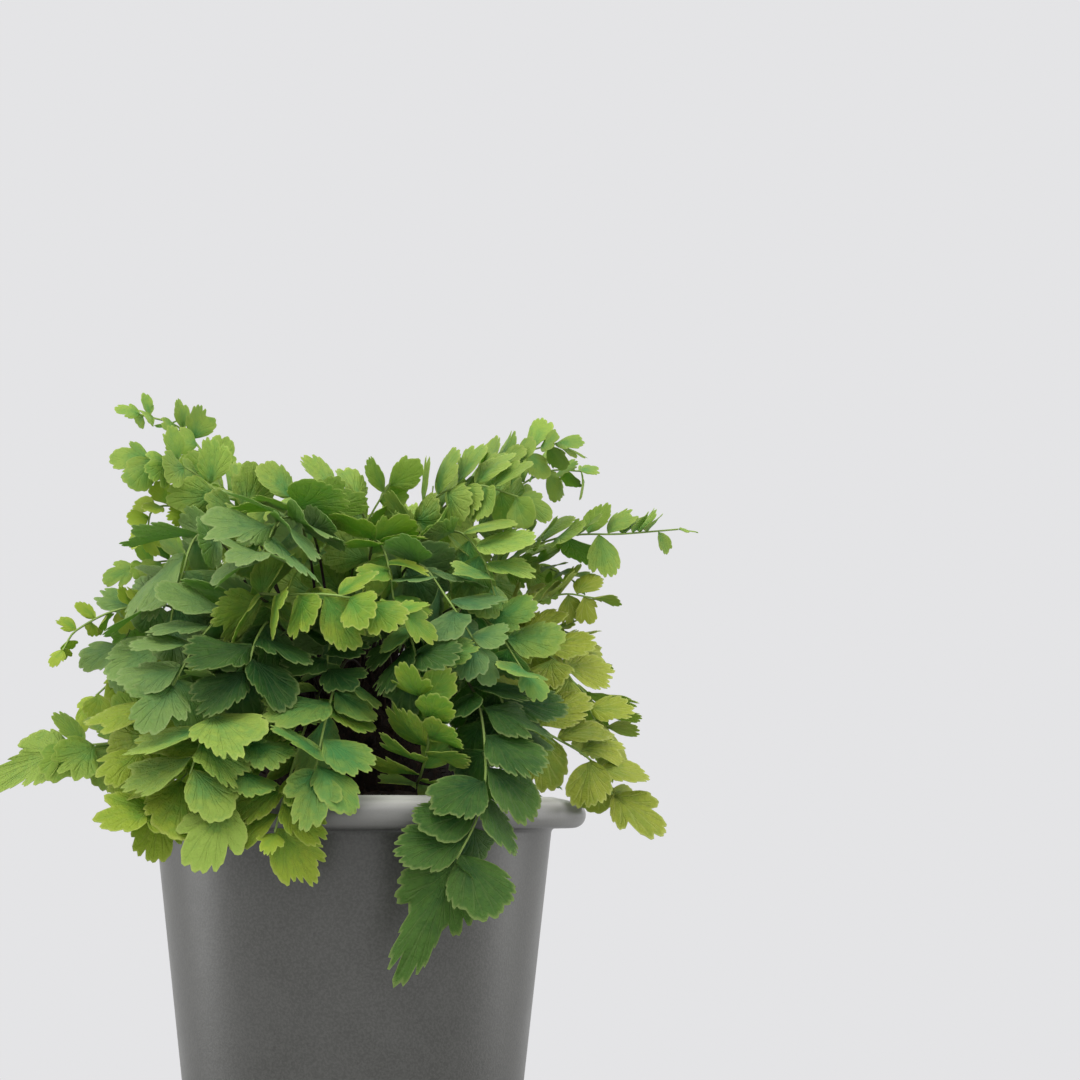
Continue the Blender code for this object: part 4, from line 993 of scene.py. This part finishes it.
def blade_group():
    """Shared by every leaflet finish: its colours, veins, margin and relief, from how it grew and, as painted
    shade, from how deep in the clump it lies.
    """
    group = bpy.data.node_groups.new("fern_blade", "ShaderNodeTree")
    sockets = group.interface
    for name in ("Body", "Fresh", "Vein", "Margin"):
        sockets.new_socket(name, in_out="INPUT", socket_type="NodeSocketColor")
    sockets.new_socket("Vein Strength", in_out="INPUT", socket_type="NodeSocketFloat")
    for name in ("Colour", "Lit Through"):
        sockets.new_socket(name, in_out="OUTPUT", socket_type="NodeSocketColor")
    for name in ("Roughness", "Height"):
        sockets.new_socket(name, in_out="OUTPUT", socket_type="NodeSocketFloat")
    nodes = Nodes(group)
    given = nodes.add("NodeGroupInput").outputs
    leaf = nodes.add("ShaderNodeAttribute", {"attribute_name": "leaf_place"}).outputs["Vector"]
    tone = nodes.add("ShaderNodeAttribute", {"attribute_name": "leaf_tone"}).outputs["Vector"]
    leaf_parts = nodes.add("ShaderNodeSeparateXYZ", Vector=leaf).outputs
    tone_parts = nodes.add("ShaderNodeSeparateXYZ", Vector=tone).outputs
    phase, reach, whim = leaf_parts["X"], leaf_parts["Y"], leaf_parts["Z"]
    coarse, under, youth_and_shade = tone_parts["X"], tone_parts["Y"], tone_parts["Z"]
    place = nodes.place()
    in_lobe = nodes.math("ABSOLUTE", nodes.math("SUBTRACT", nodes.math("FRACT", phase), 0.5))
    fork = nodes.math("MULTIPLY", nodes.between(reach, 0.4, 1.0, smooth=False), 0.24)
    aside = nodes.math("ABSOLUTE", nodes.math("SUBTRACT", in_lobe, fork))
    off_vein = nodes.math("MULTIPLY", aside, nodes.math("MULTIPLY_ADD", reach, 1.9, 0.1))
    vein = nodes.math("SUBTRACT", 1.0, nodes.between(off_vein, 0.03, 0.17))
    vein = nodes.math("MULTIPLY", vein, nodes.math("SUBTRACT", 1.0, nodes.between(reach, 0.78, 1.0)))
    blotches = nodes.between(nodes.grain(place, 110.0, 3.0), 0.32, 0.70)
    mottle = nodes.between(nodes.grain(place, 420.0, 4.0, 0.6), 0.35, 0.65)
    cells = nodes.grain(place, 1400.0, 3.0)
    outward = nodes.math("MULTIPLY", nodes.between(reach, 0.15, 1.0), 0.58)
    # Painted shade: this carries how deep in the clump the leaflet lies, so inner leaflets get less of the
    # fresh colour.
    growth_and_shade = nodes.math("MULTIPLY_ADD", youth_and_shade, 0.85, -0.64)
    patchy = nodes.math("MULTIPLY_ADD", blotches, 0.38, nodes.math("MULTIPLY_ADD", mottle, 0.34, growth_and_shade))
    fresh_share = nodes.math("ADD", outward, patchy, clamp=True)
    body = nodes.blend(fresh_share, given["Body"], given["Fresh"])
    veined = nodes.blend(nodes.math("MULTIPLY", vein, given["Vein Strength"]), body, given["Vein"])
    # Painted highlight: the pale edge is partly the leaflet's own paler margin and partly painted rim light.
    rim = nodes.math("MULTIPLY", nodes.between(reach, 0.93, 1.0), 0.5)
    edged = nodes.blend(rim, veined, given["Margin"])
    shade = nodes.math("MULTIPLY_ADD", whim, 0.30, nodes.math("MULTIPLY_ADD", cells, 0.20, 0.86))
    grey = nodes.add("ShaderNodeCombineColor", Red=shade, Green=shade, Blue=shade)
    toned = nodes.blend(1.0, edged, grey.outputs[0], how="MULTIPLY")
    pale_under = nodes.blend(nodes.math("MULTIPLY", under, 0.30), toned, (0.23, 0.32, 0.11, 1))
    lit = nodes.blend(0.5, pale_under, (0.28, 0.58, 0.045, 1))
    rough = nodes.math("MULTIPLY_ADD", cells, 0.18, nodes.math("MULTIPLY_ADD", under, 0.12, 0.46))
    puckers = nodes.math("MULTIPLY_ADD", mottle, 0.55, nodes.math("MULTIPLY", cells, 0.5))
    puffed = nodes.math("MULTIPLY", coarse, nodes.math("MULTIPLY_ADD", vein, -0.45, puckers))
    result = nodes.add("NodeGroupOutput")
    grown = {"Colour": pale_under, "Lit Through": lit, "Roughness": rough, "Height": puffed}
    for name, value in grown.items():
        nodes.feed(result.inputs[name], value)
    return group


fern_blade = blade_group()


def leaf_material(name, body, fresh, vein, margin, vein_strength, see_through):
    material, nodes, shader = new_material(name)
    blade = nodes.add("ShaderNodeGroup", {"node_tree": fern_blade})
    for socket, value in (("Body", body), ("Fresh", fresh), ("Vein", vein), ("Margin", margin)):
        blade.inputs[socket].default_value = (*value, 1)
    blade.inputs["Vein Strength"].default_value = vein_strength
    bump = nodes.add("ShaderNodeBump", Height=blade.outputs["Height"], Strength=0.8, Distance=0.0005)
    join_finish(nodes, shader, blade.outputs["Colour"], blade.outputs["Roughness"], bump, 0.13)
    through = nodes.add("ShaderNodeBsdfTranslucent", Color=blade.outputs["Lit Through"])
    nodes.feed(through.inputs["Normal"], bump.outputs["Normal"])
    both = nodes.add("ShaderNodeMixShader", Fac=see_through)
    nodes.feed(both.inputs[1], shader.outputs[0])
    nodes.feed(both.inputs[2], through.outputs[0])
    nodes.feed(material.node_tree.nodes["Material Output"].inputs["Surface"], both.outputs[0])
    return material


def stalk_material():
    material, nodes, shader = new_material("frond_stalk")
    place = nodes.place()
    tone = nodes.add("ShaderNodeAttribute", {"attribute_name": "leaf_tone"}).outputs["Vector"]
    along = nodes.add("ShaderNodeSeparateXYZ", Vector=tone).outputs["X"]
    grain = nodes.grain(place, 900.0, 3.0)
    greening = nodes.between(nodes.math("MULTIPLY_ADD", grain, 0.12, along), 0.40, 0.80)
    colour = nodes.blend(greening, (0.012, 0.007, 0.004, 1), (0.15, 0.22, 0.05, 1))
    bump = nodes.add("ShaderNodeBump", Height=grain, Strength=0.3, Distance=0.0002)
    join_finish(nodes, shader, colour, nodes.math("MULTIPLY_ADD", grain, 0.2, 0.45), bump, 0.15)
    return material


# Tint, record slot, colours of the blade's body, fresh growth, veins and margin, and strength of the veins
LEAF_FINISHES = {
    "mid": (
        "frond_green", (0.064, 0.200, 0.058), (0.222, 0.304, 0.056),
        (0.24, 0.34, 0.07), (0.34, 0.39, 0.10), 0.16,
    ),
    "fresh": (
        "frond_young", (0.090, 0.226, 0.036), (0.255, 0.320, 0.036),
        (0.31, 0.38, 0.08), (0.42, 0.44, 0.12), 0.16,
    ),
    "olive": (
        "frond_olive", (0.120, 0.200, 0.036), (0.275, 0.305, 0.042),
        (0.42, 0.45, 0.13), (0.47, 0.48, 0.17), 0.30,
    ),
    # The deep tint is partly a darker green that some fronds have and partly painted shade on the inner and
    # back fronds.
    "deep": (
        "frond_deep", (0.013, 0.048, 0.014), (0.056, 0.115, 0.022),
        (0.11, 0.16, 0.05), (0.22, 0.26, 0.09), 0.26,
    ),
    "pale": (
        "frond_pale", (0.062, 0.155, 0.058), (0.162, 0.246, 0.070),
        (0.20, 0.29, 0.12), (0.28, 0.34, 0.14), 0.13,
    ),
}
SEE_THROUGH = 0.46  # share of the light that comes through a blade
leaf_materials = {
    tint: leaf_material(f"fern_{tint}", *colours, vein_strength, SEE_THROUGH)
    for tint, (slot, *colours, vein_strength) in LEAF_FINISHES.items()
}
stalk_finish = stalk_material()


def node_tree_in_mm(node):
    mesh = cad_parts[node].data
    corners = [vertex.co / MM for vertex in mesh.vertices]
    return BVHTree.FromPolygons(corners, [polygon.vertices[:] for polygon in mesh.polygons])


solids = [node_tree_in_mm(node) for node in ("pot", "potting_soil", "rootstock")]
midribs, obstacles = clear_midribs(solids[2], solids)
for frond in FRONDS:
    midrib = midribs[frond.name]
    joints = leaf_joints(frond, midrib.length)
    leaves, trees = grow_leaves(frond, midrib, joints, obstacles)
    obstacles += trees
    grown = FrondMesh()
    grown.add_stalk(midrib)
    dice = random.Random(frond.name + "_fine")
    for number, leaf in enumerate(leaves):
        if leaf:
            is_end = number == len(leaves) - 1
            grown.add_leaf(leaf, NOTCH[frond.tint], EXTRA_YOUTH[frond.tint], dice, is_end)
    frond_piece = grown.piece(f"{frond.name}_grown", [leaf_materials[frond.tint], stalk_finish])
    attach(frond_piece, "root")
    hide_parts(frond.name)

# ---- Studio ------------------------------------------------------------------------------------------------
# A pale seamless floor that fades into the pale surround, one broad soft light from above and in front, and a
# soft light at each side that draws the bright edges down the pot.
SURROUND = (0.776, 0.776, 0.790, 1)
FLOOR_RADIUS = 260.0
FLOOR_FADE = (0.09, 0.24)  # metres from the pot's axis between which the floor fades away
EYE_DISTANCE = 0.480
EYE_TURN = 2.9
EYE_TILT = 5.2


def pale_floor():
    bm = bmesh.new()
    bmesh.ops.create_circle(bm, cap_ends=True, segments=96, radius=FLOOR_RADIUS)
    material, nodes, shader = new_material("pale_floor")
    place = nodes.place()
    sides = nodes.add("ShaderNodeSeparateXYZ", Vector=place).outputs
    squares = [nodes.math("POWER", sides[side], 2) for side in ("X", "Y")]
    away = nodes.math("SQRT", nodes.math("ADD", *squares))
    colour = nodes.blend(nodes.grain(place, 40.0), (0.30, 0.30, 0.305, 1), (0.32, 0.32, 0.325, 1))
    nodes.feed(shader.inputs["Alpha"], nodes.math("SUBTRACT", 1.0, nodes.between(away, *FLOOR_FADE)))
    nodes.feed(shader.inputs["Base Color"], colour)
    shader.inputs["Roughness"].default_value = 0.9
    floor = finished("pale_floor", bm, material)
    floor.location.z = -0.0002
    return floor


def soft_light(name, place, target, size, watts):
    data = bpy.data.lights.new(name, "AREA")
    data.shape = "RECTANGLE"
    data.size, data.size_y = size
    data.energy = watts
    lamp = bpy.data.objects.new(name, data)
    lamp.location = place
    lamp.rotation_euler = (Vector(target) - Vector(place)).to_track_quat("-Z", "Y").to_euler()
    bpy.context.scene.collection.objects.link(lamp)


pale_floor()
world = bpy.data.worlds.new("pale_surround")
world.use_nodes = True
sky = Nodes(world.node_tree)
aim = sky.add("ShaderNodeSeparateXYZ", Vector=sky.add("ShaderNodeTexCoord").outputs["Generated"]).outputs
lower = sky.between(aim["Z"], -1.0, 0.0, smooth=False)
upper = sky.between(aim["Z"], 0.0, 1.0, smooth=False)
front = sky.between(aim["Y"], 0.2, -1.0, smooth=False)
from_below = sky.math("MULTIPLY_ADD", lower, 0.56, 0.40)
glow = sky.math("MULTIPLY_ADD", upper, 1.0, sky.math("MULTIPLY_ADD", front, 0.78, from_below))
lighting = sky.add("ShaderNodeCombineColor", Red=glow, Green=glow, Blue=glow).outputs[0]
seen = sky.add("ShaderNodeLightPath").outputs["Is Camera Ray"]
sky.feed(world.node_tree.nodes["Background"].inputs["Color"], sky.blend(seen, lighting, SURROUND))
bpy.context.scene.world = world
soft_light("overhead", (-0.15, -0.45, 0.90), (0, 0, 0.12), (0.6, 0.6), 4.6)
soft_light("left_side", (-0.75, 0.10, 0.25), (0, 0, 0.10), (0.35, 0.8), 3.6)
soft_light("right_side", (0.75, 0.10, 0.25), (0, 0, 0.10), (0.35, 0.8), 2.6)

eye = bpy.data.cameras.new("eye")
eye.sensor_width = 36.0
eye.lens = 61.07
eye.shift_x = 0.085
eye.shift_y = 0.100
eye_object = bpy.data.objects.new("eye", eye)
eye_object.location = (0.0, -EYE_DISTANCE, RIM_LINE * MM)
eye_object.rotation_euler = (math.radians(90 + EYE_TILT), 0.0, math.radians(-EYE_TURN))
bpy.context.scene.collection.objects.link(eye_object)
bpy.context.scene.camera = eye_object
bpy.context.scene.view_settings.view_transform = "Standard"
